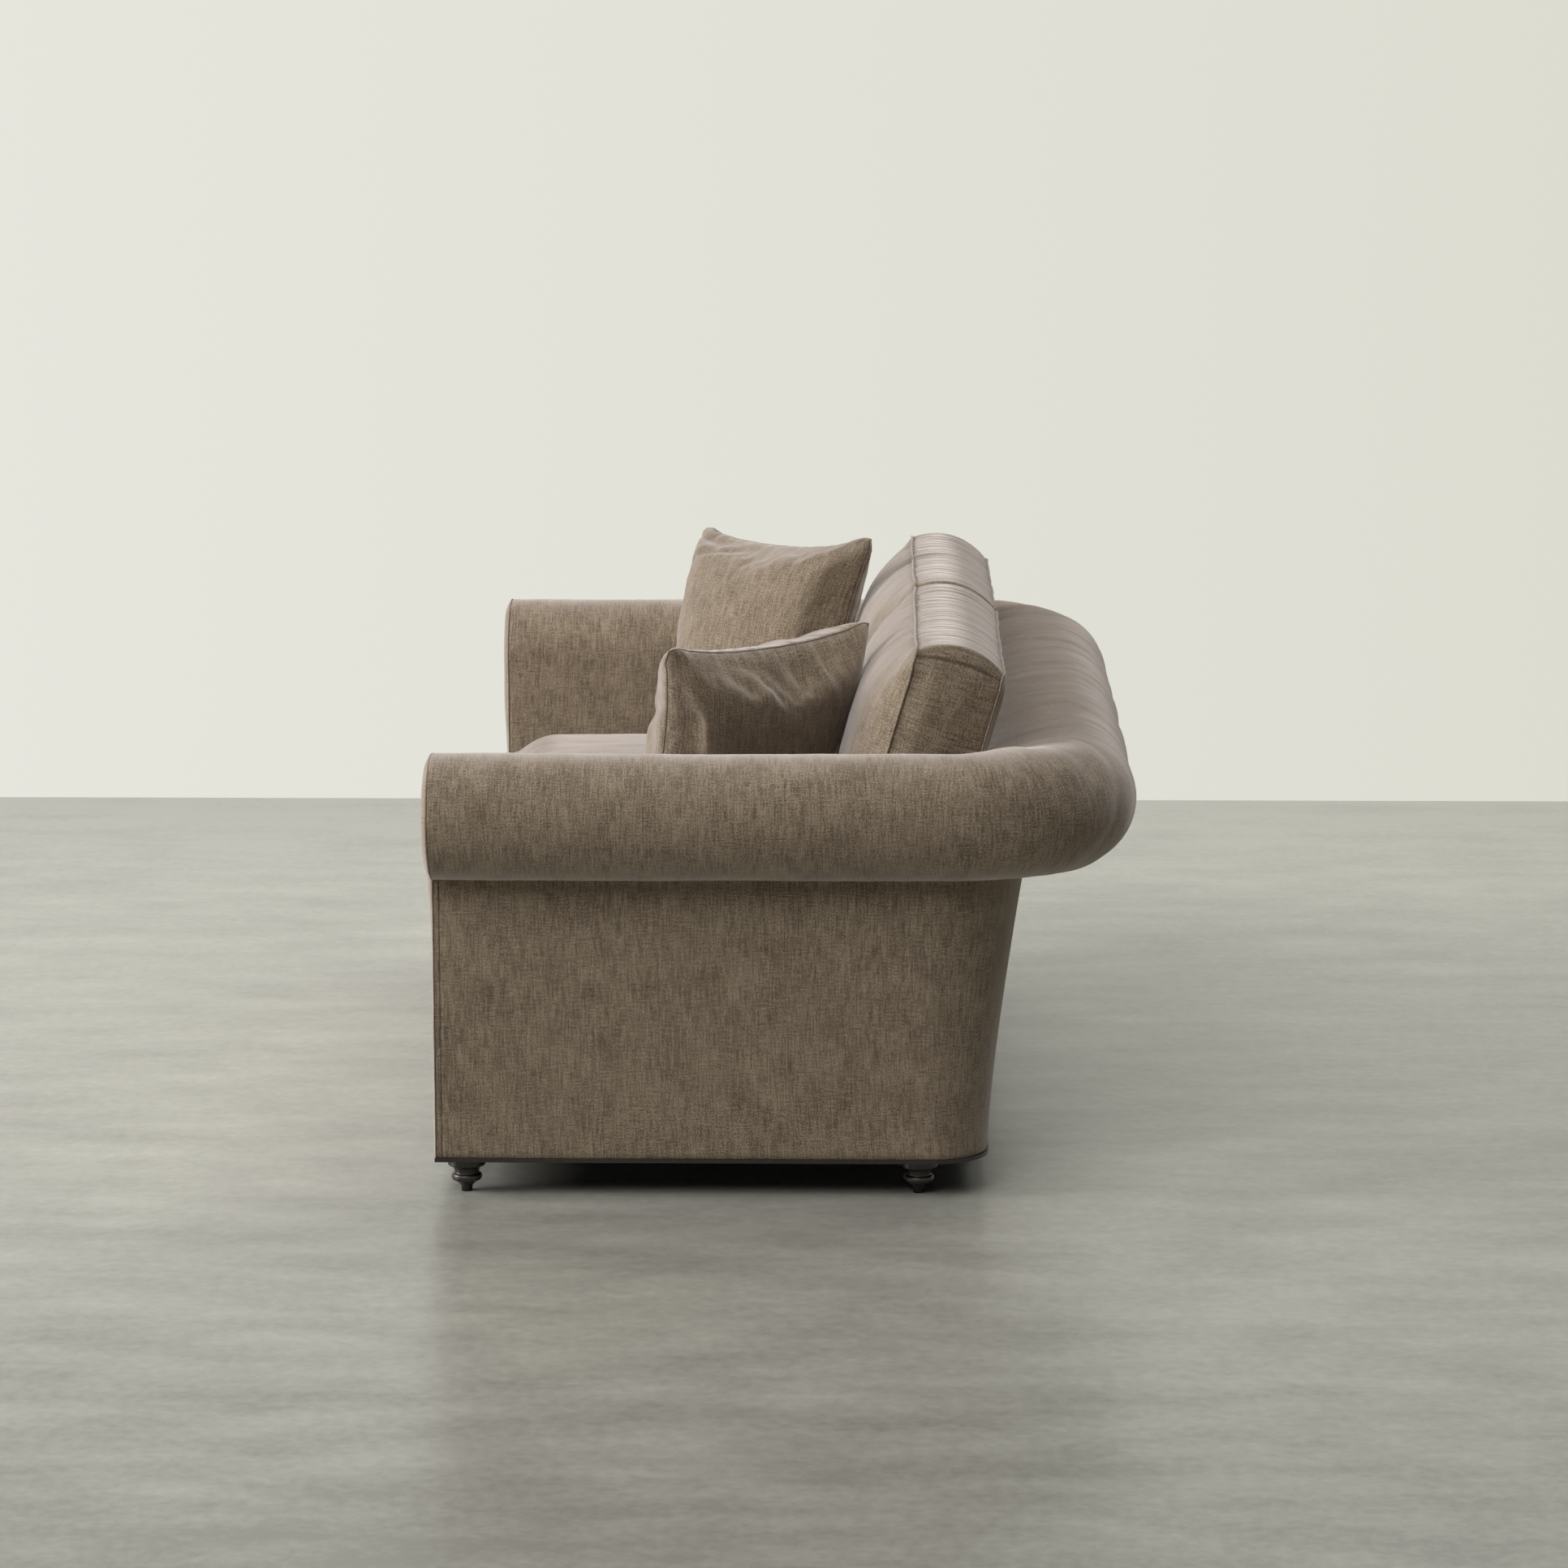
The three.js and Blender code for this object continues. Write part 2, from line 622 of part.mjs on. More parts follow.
function buildPanels() {
  const panelSection = (angle) => {
    const outer = [];
    const inner = [];
    for (let i = 0; i <= steps.panel; i += 1) {
      outer.push(panelPoint(i / steps.panel, angle, 0));
      inner.unshift(panelPoint(i / steps.panel, angle, padding.panelThickness));
    }
    return [...outer, ...inner];
  };
  const half = [];
  for (let i = 0; i <= steps.corner; i += 1) {
    half.push(panelSection((i / steps.corner) * quarterTurn));
  }
  half.unshift(half[0].map((point) => new THREE.Vector3(point.x, splitY, point.z)));
  const otherHalf = half.map((ring) => ring.map((point) => new THREE.Vector3(-point.x, point.y, point.z)));
  addMesh('outside_back', 'linen', loft([...half, ...otherHalf.reverse()]));

  const sideTop = rollUnderside(sideX, 0) - meetGap;
  const outsideArm = boxBetween([panelInnerX, frontY, baseZ], [sideX, splitY, sideTop]);
  addOnBothSides('outside_arm', 'linen', outsideArm);

  const facingOptions = {
    depth: 2 * (facing.thickness - facing.roundEdge),
    bevelThickness: facing.roundEdge,
    bevelSize: facing.roundEdge,
    bevelOffset: -facing.roundEdge,
    bevelSegments: steps.underside,
    curveSegments: steps.scroll,
  };
  const domed = new THREE.ExtrudeGeometry(scrollOutline(0), facingOptions).rotateX(quarterTurn);
  domed.translate(0, frontY + facing.thickness - facing.roundEdge, 0);
  const behind = boxBetween(
    [0, frontY, -cutOverrun],
    [overallLength, frontY + 2 * facing.thickness + cutOverrun, roll.topHeight + cutOverrun],
  );
  addOnBothSides('arm_facing', 'linen', cut(domed, behind));

  const border = boxBetween(
    [softGap - armInnerX, frontY, baseZ],
    [armInnerX - softGap, frontRailY, deckZ],
  );
  addMesh('front_border', 'linen', border);
}

// A soft block with crowned faces, drawn-in sides and boxing between two seams, lying in X and Y.
// All sizes grow together by a clearance, which gives the cavity and the cuts that neighbours need.
function softBlock(shape, grow, blockSteps = cushionSteps) {
  const halfX = shape.width / 2 + grow;
  const halfY = shape.depth / 2 + grow;
  const corner = shape.cornerRadius + grow;
  const rim = [];
  const quarters = [
    [halfX - corner, halfY - corner, 0],
    [corner - halfX, halfY - corner, 1],
    [corner - halfX, corner - halfY, 2],
    [halfX - corner, corner - halfY, 3],
  ];
  quarters.forEach(([x, y, quarter], q) => {
    for (let i = 0; i <= blockSteps.corner; i += 1) {
      const angle = (quarter + i / blockSteps.corner) * quarterTurn;
      rim.push(new THREE.Vector2(x + corner * Math.cos(angle), y + corner * Math.sin(angle)));
    }
    const [nextX, nextY, nextQuarter] = quarters[(q + 1) % 4];
    const start = rim.at(-1);
    const endAngle = nextQuarter * quarterTurn;
    const end = new THREE.Vector2(nextX + corner * Math.cos(endAngle), nextY + corner * Math.sin(endAngle));
    for (let i = 1; i < blockSteps.side; i += 1) rim.push(start.clone().lerp(end, i / blockSteps.side));
  });
  const drawn = rim.map((point) => {
    const u = clamp(Math.abs(point.x) / halfX, 0, 1);
    const v = clamp(Math.abs(point.y) / halfY, 0, 1);
    const pull = shape.drawIn * (1 - Math.min(u, v) ** 2);
    const onEnds = u > v;
    return new THREE.Vector2(
      point.x - (onEnds ? Math.sign(point.x) * pull : 0),
      point.y - (onEnds ? 0 : Math.sign(point.y) * pull),
    );
  });
  const fade = (share) => Math.max(1 - share ** fullnessPower, 0);
  const fullness = (x, y) => fade(x / halfX) * fade(y / halfY);
  const points = [];
  const triangles = [];
  const ringStarts = [];
  const addRing = (scale, height) => {
    ringStarts.push(points.length);
    for (const point of drawn) {
      const x = point.x * scale;
      const y = point.y * scale;
      points.push(new THREE.Vector3(x, y, height(x, y)));
    }
  };
  const seam = shape.boxing / 2 + grow;
  const top = (x, y) => seam + shape.crown * fullness(x, y);
  const under = (x, y) => -seam - shape.underCrown * fullness(x, y);
  const seamShare = 1 - shape.boxingBulge / halfX;
  for (let i = 1; i <= blockSteps.rings; i += 1) addRing((i / blockSteps.rings) * seamShare, top);
  if (shape.boxingBulge > 0) addRing(1, () => 0);
  for (let i = blockSteps.rings; i >= 1; i -= 1) addRing((i / blockSteps.rings) * seamShare, under);
  const count = drawn.length;
  for (let r = 0; r < ringStarts.length - 1; r += 1) {
    for (let i = 0; i < count; i += 1) {
      const here = ringStarts[r] + i;
      const next = ringStarts[r] + ((i + 1) % count);
      triangles.push([here, next, next + count], [here, next + count, here + count]);
    }
  }
  const topCentre = points.push(new THREE.Vector3(0, 0, top(0, 0))) - 1;
  const underCentre = points.push(new THREE.Vector3(0, 0, under(0, 0))) - 1;
  const lastStart = ringStarts.at(-1);
  for (let i = 0; i < count; i += 1) {
    const next = (i + 1) % count;
    triangles.push([topCentre, next, i], [underCentre, lastStart + i, lastStart + next]);
  }
  return closedGeometry(points, triangles);
}

// The hollow of a boxed cushion's cover
function boxedCavity(shape) {
  return {
    ...shape,
    width: shape.width - 2 * cover.wall,
    depth: shape.depth - 2 * cover.wall,
    boxing: shape.boxing - 2 * cover.wall,
    cornerRadius: shape.cornerRadius - cover.wall,
  };
}

// A cover is a soft block with a cavity for its filling and a zip slot into it, through its +Y or -Y side
function coverAndFilling(shape, cavityShape, cavitySteps, zipSide, trims = []) {
  const zipHalf = (shape.width * cover.zipLengthShare) / 2;
  const outside = shape.depth / 2 + cutOverrun;
  const slot = boxBetween(
    [-zipHalf, Math.min(0, zipSide * outside), -cover.zipWidth / 2],
    [zipHalf, Math.max(0, zipSide * outside), cover.zipWidth / 2],
  );
  const trimmed = (geometry, grow) => cut(geometry, ...trims.map((trimTo) => trimTo(grow)));
  const cavity = trimmed(softBlock(cavityShape, 0, cavitySteps), cover.wall);
  const filling = trimmed(softBlock(cavityShape, -softGap, cavitySteps), cover.wall + softGap);
  const shell = cut(trimmed(softBlock(shape, 0), 0), cavity, slot);
  return [shell, filling];
}

function placed(geometry, group) {
  group.updateWorldMatrix(true, false);
  return geometry.clone().applyMatrix4(group.matrixWorld);
}

// Seat cushions
const seatShape = {
  ...seatCushion,
  width: armInnerX - 2 * seatCushion.sideGap,
  depth: insideBackY - frontY - seatCushion.frontSetBack - 2 * softGap,
};

function seatGroup(sign) {
  const group = new THREE.Group();
  group.position.set(
    (sign * armInnerX) / 2,
    frontY + seatCushion.frontSetBack + seatShape.depth / 2,
    deckZ + softGap + seatCushion.underCrown + seatCushion.boxing / 2,
  );
  return group;
}

// Back cushions lean on the inside back and stand on the seat cushions. In their own frame they lie in
// X and Y, with the boxing along Z: the group turns them up.
const backShape = { ...backCushion, width: armInnerX - 2 * backCushion.sideGap, depth: backCushion.height };
const up = new THREE.Vector3(0, Math.sin(backRake), Math.cos(backRake));
const rearward = new THREE.Vector3(0, Math.cos(backRake), -Math.sin(backRake));

function highestAlong(direction, geometry, origin) {
  const position = geometry.getAttribute('position');
  const point = new THREE.Vector3();
  let highest = -Infinity;
  for (let i = 0; i < position.count; i += 1) {
    point.fromBufferAttribute(position, i).sub(origin);
    highest = Math.max(highest, point.dot(direction));
  }
  return highest;
}

function backGroup(sign) {
  const backFoot = new THREE.Vector3(0, insideBackY, deckZ);
  const stand = highestAlong(up, placed(softBlock(seatShape, 0), seatGroup(sign)), backFoot) + softGap;
  const rear = backCushion.boxing / 2 + backCushion.underCrown + softGap;
  const centre = backFoot.addScaledVector(up, stand + backCushion.height / 2 + backCushion.boxingBulge);
  centre.addScaledVector(rearward, -rear);
  const group = new THREE.Group();
  group.position.copy(centre);
  group.position.x = (sign * armInnerX) / 2;
  group.rotation.x = quarterTurn - backRake;
  return group;
}

// Corner pillows stand on the seat, turned to the corner and leaning back
const pillowShape = {
  width: pillow.size,
  depth: pillow.size,
  boxing: pillow.edge,
  cornerRadius: pillow.cornerRadius,
  drawIn: pillow.drawIn,
  crown: pillow.crown,
  underCrown: pillow.crown,
  boxingBulge: 0,
};

// A pillow's hollow stops short of its seam
const pillowCavity = {
  ...pillowShape,
  width: pillow.size - 2 * pillow.rimInset,
  depth: pillow.size - 2 * pillow.rimInset,
  crown: pillow.crown - cover.wall,
  underCrown: pillow.crown - cover.wall,
};

function pillowGroup(sign) {
  const seatTop = seatGroup(sign).position.z + seatCushion.boxing / 2 + seatCushion.crown;
  const turned = new THREE.Group();
  turned.position.set(
    sign * (armInnerX - pillow.besideArm),
    insideBackY - pillow.beforeBack,
    seatTop - pillow.sink + (pillow.size / 2) * Math.cos(pillow.lean),
  );
  turned.rotation.z = -sign * pillow.yaw;
  const leaning = new THREE.Group();
  leaning.rotation.x = quarterTurn - pillow.lean;
  turned.add(leaning);
  return [turned, leaning];
}

function buildCushions() {
  for (const [side, sign] of [['left', 1], ['right', -1]]) {
    const seat = seatGroup(sign);
    sofa.add(seat);
    const [seatCover, seatFilling] = coverAndFilling(seatShape, boxedCavity(seatShape), fillingSteps, 1);
    addMesh(`seat_cushion_cover_${side}`, 'linen', seatCover, seat);
    addMesh(`seat_cushion_core_${side}`, 'foam', seatFilling, seat);

    const back = backGroup(sign);
    sofa.add(back);
    const [backCover, backFilling] = coverAndFilling(backShape, boxedCavity(backShape), fillingSteps, -1);
    addMesh(`back_cushion_cover_${side}`, 'linen', backCover, back);
    addMesh(`back_cushion_core_${side}`, 'foam', backFilling, back);

    const [turned, leaning] = pillowGroup(sign);
    sofa.add(turned);
    leaning.updateWorldMatrix(true, false);
    const toPillow = leaning.matrixWorld.clone().invert();
    const neighbours = [[seatShape, seat], [backShape, back]].map(
      ([shape, group]) => (grow) => placed(softBlock(shape, grow + meetGap), group).applyMatrix4(toPillow),
    );
    const pillowParts = coverAndFilling(pillowShape, pillowCavity, cushionSteps, -1, neighbours);
    const [pillowCover, pillowFilling] = pillowParts;
    addMesh(`pillow_cover_${side}`, 'linen', pillowCover, leaning);
    addMesh(`pillow_insert_${side}`, 'foam', pillowFilling, leaning);
  }
}

buildFrame();
buildDeck();
buildPlinth();
buildFeet();
buildPadding();
buildPanels();
buildCushions();

export default sofa;
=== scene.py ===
"""The looks of an upholstered roll arm sofa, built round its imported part. Metres, in the part's own frame."""

import json
import math

import bpy
import numpy as np
from mathutils import Matrix, Vector
from mathutils.bvhtree import BVHTree


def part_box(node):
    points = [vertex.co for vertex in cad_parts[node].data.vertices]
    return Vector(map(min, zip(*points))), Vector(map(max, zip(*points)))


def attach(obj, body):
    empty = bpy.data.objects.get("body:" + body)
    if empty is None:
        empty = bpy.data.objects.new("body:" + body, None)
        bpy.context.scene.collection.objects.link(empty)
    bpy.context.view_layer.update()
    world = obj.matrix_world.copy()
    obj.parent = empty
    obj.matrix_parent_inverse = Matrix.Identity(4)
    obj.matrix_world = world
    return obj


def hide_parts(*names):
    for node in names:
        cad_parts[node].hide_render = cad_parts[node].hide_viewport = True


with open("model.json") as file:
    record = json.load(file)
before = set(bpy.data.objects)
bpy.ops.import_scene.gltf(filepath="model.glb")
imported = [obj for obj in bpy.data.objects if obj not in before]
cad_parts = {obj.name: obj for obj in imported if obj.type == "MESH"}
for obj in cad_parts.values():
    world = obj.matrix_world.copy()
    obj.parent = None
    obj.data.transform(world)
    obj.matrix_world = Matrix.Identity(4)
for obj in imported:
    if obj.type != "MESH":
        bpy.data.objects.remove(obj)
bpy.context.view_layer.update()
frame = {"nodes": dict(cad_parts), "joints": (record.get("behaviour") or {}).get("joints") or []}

MM = 0.001
QUARTER_TURN = math.pi / 2
FULL_TURN = 2 * math.pi

# Anything shorter than TINY counts as no length; LEAST keeps a division from being by zero
TINY = 1e-5
LEAST = 1e-12

# Distance from a seam that is given to places with no seam near them
NO_SEAM = 1.0

# The left side lies towards positive X
SIDES = (("left", 1), ("right", -1))


# Sizes and places read from the part


def corners(node):
    """The lowest and highest corner of a part's node, as arrays."""
    low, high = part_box(node)
    return np.array(low), np.array(high)


def vectors(items, key):
    """A vector of each of a mesh's items, as an array."""
    flat = np.zeros(len(items) * 3)
    items.foreach_get(key, flat)
    return flat.reshape(-1, 3)


arm_low, arm_high = corners("arm_pad_left")
back_low, back_high = corners("back_pad")
border_low, border_high = corners("front_border")
seat_low, seat_high = corners("seat_cushion_cover_left")
arm_panel_low = corners("outside_arm_left")[0]
back_panel_high = corners("outside_back")[1]
facing_low = corners("arm_facing_left")[0]
trim_high = corners("base_trim")[1]

# How far the plinth stands proud of the panels, and how far before the corner the pads are split
TRIM_PROUD = 1.5 * MM
SPLIT_MARGIN = 6 * MM

ROLL_RADIUS = (arm_high[0] - arm_low[0]) / 2
ROLL_X = arm_high[0] - ROLL_RADIUS
ROLL_Y = back_high[1] - ROLL_RADIUS
ROLL_Z = arm_high[2] - ROLL_RADIUS
INNER_X = arm_low[0]
FRONT_Y = arm_low[1]
INSIDE_Y = back_low[1]
DECK_Z = arm_low[2]
BASE_Z = arm_panel_low[2]
PANEL_TOP_Z = back_panel_high[2]
PANEL_TOP_Y = back_panel_high[1]
PANEL_FOOT_Y = trim_high[1] - TRIM_PROUD
CORNER_RADIUS = ROLL_X - back_high[0] - SPLIT_MARGIN
INNER_CORNER = INSIDE_Y - arm_high[1] - SPLIT_MARGIN

# Sizes that the part's boxes don't show
DOME_DROP = 75 * MM
PANEL_RADIUS_LOW = 82 * MM
PANEL_RADIUS_HIGH = 150 * MM
PANEL_FLARE_POWER = 1.4
CLEARANCE = 0.6 * MM
DOME_Z = arm_high[2] - DOME_DROP

# The back leans along the direction in which its cushions lift off
lift = next(j for j in frame["joints"] if j["name"] == "back_cushion_left_lift")
RAKE = math.atan2(lift["axis"][1], lift["axis"][2])


def lerp(a, b, share):
    return a + (b - a) * share


def smooth(low, high, value):
    """0 below low, 1 above high and a soft step between them."""
    share = np.clip((value - low) / (high - low), 0, 1)
    return share * share * (3 - 2 * share)


def bell(value, middle, width):
    return np.exp(-(((value - middle) / width) ** 2))


def inside_face_y(z):
    return INSIDE_Y + (z - DECK_Z) * math.tan(RAKE)


# Noise, so that no two stretches of cloth are alike

NOISE_HASH = (127.1, 311.7, 74.7, 43758.5453)


def cell_noise(u, v, seed):
    """Smooth noise between -1 and 1 over a plane, one cell to a unit."""
    cell_u, cell_v = np.floor(u), np.floor(v)
    s, t = u - cell_u, v - cell_v
    s, t = s * s * (3 - 2 * s), t * t * (3 - 2 * t)

    def corner(du, dv):
        along, across, start, spread = NOISE_HASH
        value = np.sin((cell_u + du) * along + (cell_v + dv) * across + seed * start) * spread
        return 2 * (value - np.floor(value)) - 1

    low = lerp(corner(0, 0), corner(1, 0), s)
    high = lerp(corner(0, 1), corner(1, 1), s)
    return lerp(low, high, t)


def folds(u, v, relief, turn=0):
    """Heights of a relief at places on the cloth, with a finer and weaker layer over it.

    A relief is a table of the length of its cells along u and v, its height and its seed."""
    along, across = u / relief["u"], v / relief["v"]
    seed = relief["seed"] + turn
    coarse = cell_noise(along, across, seed)
    fine = cell_noise(2 * along, 2 * across, seed + 1)
    return relief["height"] * (2 * coarse + fine) / 3


# Mesh helpers


def joined(*coordinates):
    """Points from their coordinates, each a number or an array."""
    return np.stack(np.broadcast_arrays(*coordinates), axis=-1)


def linked(name, data):
    """An object of some data, in the scene."""
    made = bpy.data.objects.new(name, data)
    bpy.context.scene.collection.objects.link(made)
    return made


def grid_normals(points):
    """Unit normals of a grid of points, by rows and columns."""
    along = np.gradient(points, axis=0)
    across = np.gradient(points, axis=1)
    normals = np.cross(along, across)
    return normals / np.maximum(np.linalg.norm(normals, axis=2, keepdims=True), LEAST)


def mesh_object(name, points, faces, loop_uvs, seam_distance):
    """A smooth-shaded mesh with its cloth coordinates and each point's distance from the nearest seam, near
    which the linen gets painted shade.
    """
    mesh = bpy.data.meshes.new(name)
    mesh.from_pydata([tuple(p) for p in points], [], [tuple(f) for f in faces])
    uv_layer = mesh.uv_layers.new(name="cloth")
    uv_layer.data.foreach_set("uv", np.asarray(loop_uvs, float).ravel())
    seam = mesh.attributes.new("seam", "FLOAT", "POINT")
    seam.data.foreach_set("value", np.asarray(seam_distance, float).ravel())
    mesh.shade_smooth()
    return linked(name, mesh)


def grid_faces(rows, columns):
    index = np.arange(rows * columns).reshape(rows, columns)
    corner_lists = (index[:-1, :-1], index[1:, :-1], index[1:, 1:], index[:-1, 1:])
    return np.stack([c.ravel() for c in corner_lists], axis=1)


def grid_object(name, points, u, v, seam_distance):
    """A sheet from a grid of points. u and v are its cloth coordinates in metres."""
    rows, columns, _ = points.shape
    faces = grid_faces(rows, columns)
    uv = joined(u, v).reshape(-1, 2)
    return mesh_object(name, points.reshape(-1, 3), faces, uv[faces.ravel()], seam_distance)


def path_length(points):
    """Distance along a row of points, from its first point."""
    steps = np.linalg.norm(np.diff(points, axis=0), axis=1)
    return np.concatenate([[0], np.cumsum(steps)])


def with_mirror(half):
    """Rings of the left half, joined to their mirror images in reverse order."""
    other = half[-2::-1] * np.array([-1, 1, 1])
    return np.concatenate([half, other])


def graded(start, end, fine, coarse, run):
    """Places from start to end: fine steps over the first run, coarse ones after it."""
    fine_count = round(run / fine)
    near = start + fine * np.arange(fine_count)
    far = np.linspace(start + fine * fine_count, end, math.ceil((end - start - run) / coarse) + 1)
    return np.concatenate([near, far])


# Materials

NOISE_MIDDLE = 0.5
NOISE_ROUGHNESS = 0.6


class Tree:
    """The node tree of a material or of the world, with short ways to add to it."""

    def __init__(self, tree):
        self.nodes = tree.nodes
        self.link = tree.links.new

    def maths(self, operation, *values):
        """An operation on numbers and sockets."""
        made = self.nodes.new("ShaderNodeMath")
        made.operation = operation
        for socket, value in zip(made.inputs, values):
            if isinstance(value, (int, float)):
                socket.default_value = value
            else:
                self.link(value, socket)
        return made.outputs[0]

    def mixed(self, layers, middle=0.0):
        """A sum of values, each with its weight and taken about its own middle."""
        total = middle
        for value, weight, own_middle in layers:
            start = self.maths("SUBTRACT", total, weight * own_middle)
            total = self.maths("MULTIPLY_ADD", value, weight, start)
        return total

    def fading(self, power):
        """e to a power: 1 at zero, towards 0 below it."""
        return self.maths("POWER", math.e, power)

    def attribute(self, name):
        made = self.nodes.new("ShaderNodeAttribute")
        made.attribute_name = name
        return made.outputs["Fac"]

    def place(self, space="Object"):
        return self.nodes.new("ShaderNodeTexCoord").outputs[space]

    def split(self, vector):
        made = self.nodes.new("ShaderNodeSeparateXYZ")
        self.link(vector, made.inputs[0])
        return made.outputs

    def noise(self, coordinates, cell, detail=2.0):
        """Noise between 0 and 1 in cells of the given size along each axis."""
        mapping = self.nodes.new("ShaderNodeMapping")
        scale = [1 / length for length in cell]
        mapping.inputs["Scale"].default_value = (scale + [1])[:3]
        self.link(coordinates, mapping.inputs["Vector"])
        made = self.nodes.new("ShaderNodeTexNoise")
        made.inputs["Scale"].default_value = 1
        made.inputs["Detail"].default_value = detail
        made.inputs["Roughness"].default_value = NOISE_ROUGHNESS
        self.link(mapping.outputs[0], made.inputs["Vector"])
        return made.outputs["Fac"]

    def ramp(self, factor, stops):
        made = self.nodes.new("ShaderNodeValToRGB")
        elements = made.color_ramp.elements
        while len(elements) < len(stops):
            elements.new(1)
        for element, (share, colour) in zip(elements, stops):
            element.position = share
            element.color = (*colour, 1)
        self.link(factor, made.inputs["Fac"])
        return made.outputs["Color"]

    def between(self, share, first, second):
        """A colour between two, each a colour or a socket."""
        made = self.nodes.new("ShaderNodeMix")
        made.data_type = "RGBA"
        self.link(share, made.inputs["Factor"])
        for key, value in (("A", first), ("B", second)):
            if isinstance(value, tuple):
                made.inputs[key].default_value = value
            else:
                self.link(value, made.inputs[key])
        return made.outputs["Result"]

    def bump(self, height, strength, distance=1.0):
        made = self.nodes.new("ShaderNodeBump")
        made.inputs["Strength"].default_value = strength
        made.inputs["Distance"].default_value = distance
        self.link(height, made.inputs["Height"])
        return made.outputs["Normal"]


def surface(name, recipe):
    """A material with what a recipe gives for the shader's inputs, each a value or a socket."""
    material = bpy.data.materials.new(name)
    material.use_nodes = True
    tree = Tree(material.node_tree)
    inputs = tree.nodes["Principled BSDF"].inputs
    for key, value in recipe(tree).items():
        if isinstance(value, bpy.types.NodeSocket):
            tree.link(value, inputs[key])
        else:
            inputs[key].default_value = value
    return material


class Linen:
    """The cloth's tones, the lengths of its yarns and marks, and the weight of each in its tone."""

    tones = [(0.2, (0.115, 0.085, 0.060)), (0.5, (0.238, 0.182, 0.131)), (0.8, (0.385, 0.312, 0.225))]
    pitch = 2.3 * MM
    twill_pitch = 3.6 * MM
    waver = 0.7 * MM
    waver_cell = 9 * MM
    speckle_cell = [2.3 * MM, 2.3 * MM]
    warp_slub_cell = [2.5 * MM, 34 * MM]
    weft_slub_cell = [24 * MM, 2.5 * MM]
    streak_cell = [8 * MM, 60 * MM]
    cloud_cell = [60 * MM] * 3
    cloud_detail = 3.0
    dots_weight = 0.35
    twill_weight = 0.10
    speckle_weight = 1.9
    warp_slub_weight = 1.15
    weft_slub_weight = 0.8
    streak_weight = 0.50
    cloud_weight = 0.55
    yarn_height = 0.35 * MM
    ditch_width = 1.6 * MM
    ditch_depth = 1.2 * MM
    # Painted shade: the colour darkens in the ditches along the seams
    ditch_painted_shade = -0.6
    pucker_reach = 12 * MM
    pucker_cell = [9 * MM] * 3
    pucker_height = 1.4 * MM
    pleat_cell = [16 * MM, 260 * MM]
    pleat_detail = 1.5
    pleat_height = 14 * MM
    # Painted shade along the pleats: darker in their hollows, paler on their crests
    pleat_painted_shade = 1.1
    # A painted sheen: where the cloth is seen edge on, its colour is mixed towards a pale tone, in streaks
    sheen_streak_cell = [42 * MM, 340 * MM]
    sheen_streak_weight = 1.9
    painted_sheen_colour = (0.47, 0.40, 0.365, 1)
    painted_sheen_weight = 0.65
    painted_sheen_power = 2.2
    bump_strength = 0.8
    finish = {
        "Roughness": 0.92,
        "Specular IOR Level": 0.15,
        "Sheen Weight": 0.9,
        "Sheen Roughness": 0.35,
        "Sheen Tint": (1.0, 0.93, 0.90, 1),
    }


def woven_yarns(tree, cloth, slub_share):
    """The weave on yarns that waver a little, with a faint twill, speckles and slubs both ways."""
    waver = tree.nodes.new("ShaderNodeTexNoise")
    waver.inputs["Scale"].default_value = 1 / Linen.waver_cell
    waver.inputs["Detail"].default_value = 1
    tree.link(cloth, waver.inputs["Vector"])
    wavering = tree.nodes.new("ShaderNodeVectorMath")
    wavering.operation = "MULTIPLY_ADD"
    tree.link(waver.outputs["Color"], wavering.inputs[0])
    wavering.inputs[1].default_value = (Linen.waver, Linen.waver, 0)
    tree.link(cloth, wavering.inputs[2])
    across, down, _ = tree.split(wavering.outputs[0])

    def wave(value, pitch):
        return tree.maths("SINE", tree.maths("MULTIPLY", value, FULL_TURN / pitch))

    return tree.mixed([
        (tree.maths("MULTIPLY", wave(across, Linen.pitch), wave(down, Linen.pitch)), Linen.dots_weight, 0),
        (wave(tree.maths("ADD", across, down), Linen.twill_pitch), Linen.twill_weight, 0),
        (tree.noise(cloth, Linen.speckle_cell), Linen.speckle_weight, NOISE_MIDDLE),
        (tree.noise(cloth, Linen.warp_slub_cell), Linen.warp_slub_weight * slub_share, NOISE_MIDDLE),
        (tree.noise(cloth, Linen.weft_slub_cell), Linen.weft_slub_weight * slub_share, NOISE_MIDDLE),
    ], NOISE_MIDDLE)


def painted_sheen_over(tree, cloth, colour):
    """A colour made paler where the cloth is seen edge on, in streaks: a painted sheen."""
    edge_on = tree.nodes.new("ShaderNodeLayerWeight").outputs["Facing"]
    sheen_streaks = tree.noise(cloth, Linen.sheen_streak_cell)
    painted_sheen = tree.mixed([(sheen_streaks, Linen.sheen_streak_weight, NOISE_MIDDLE)], Linen.painted_sheen_weight)
    painted_sheen = tree.maths("MULTIPLY", tree.maths("POWER", edge_on, Linen.painted_sheen_power), painted_sheen)
    return tree.between(painted_sheen, colour, Linen.painted_sheen_colour)


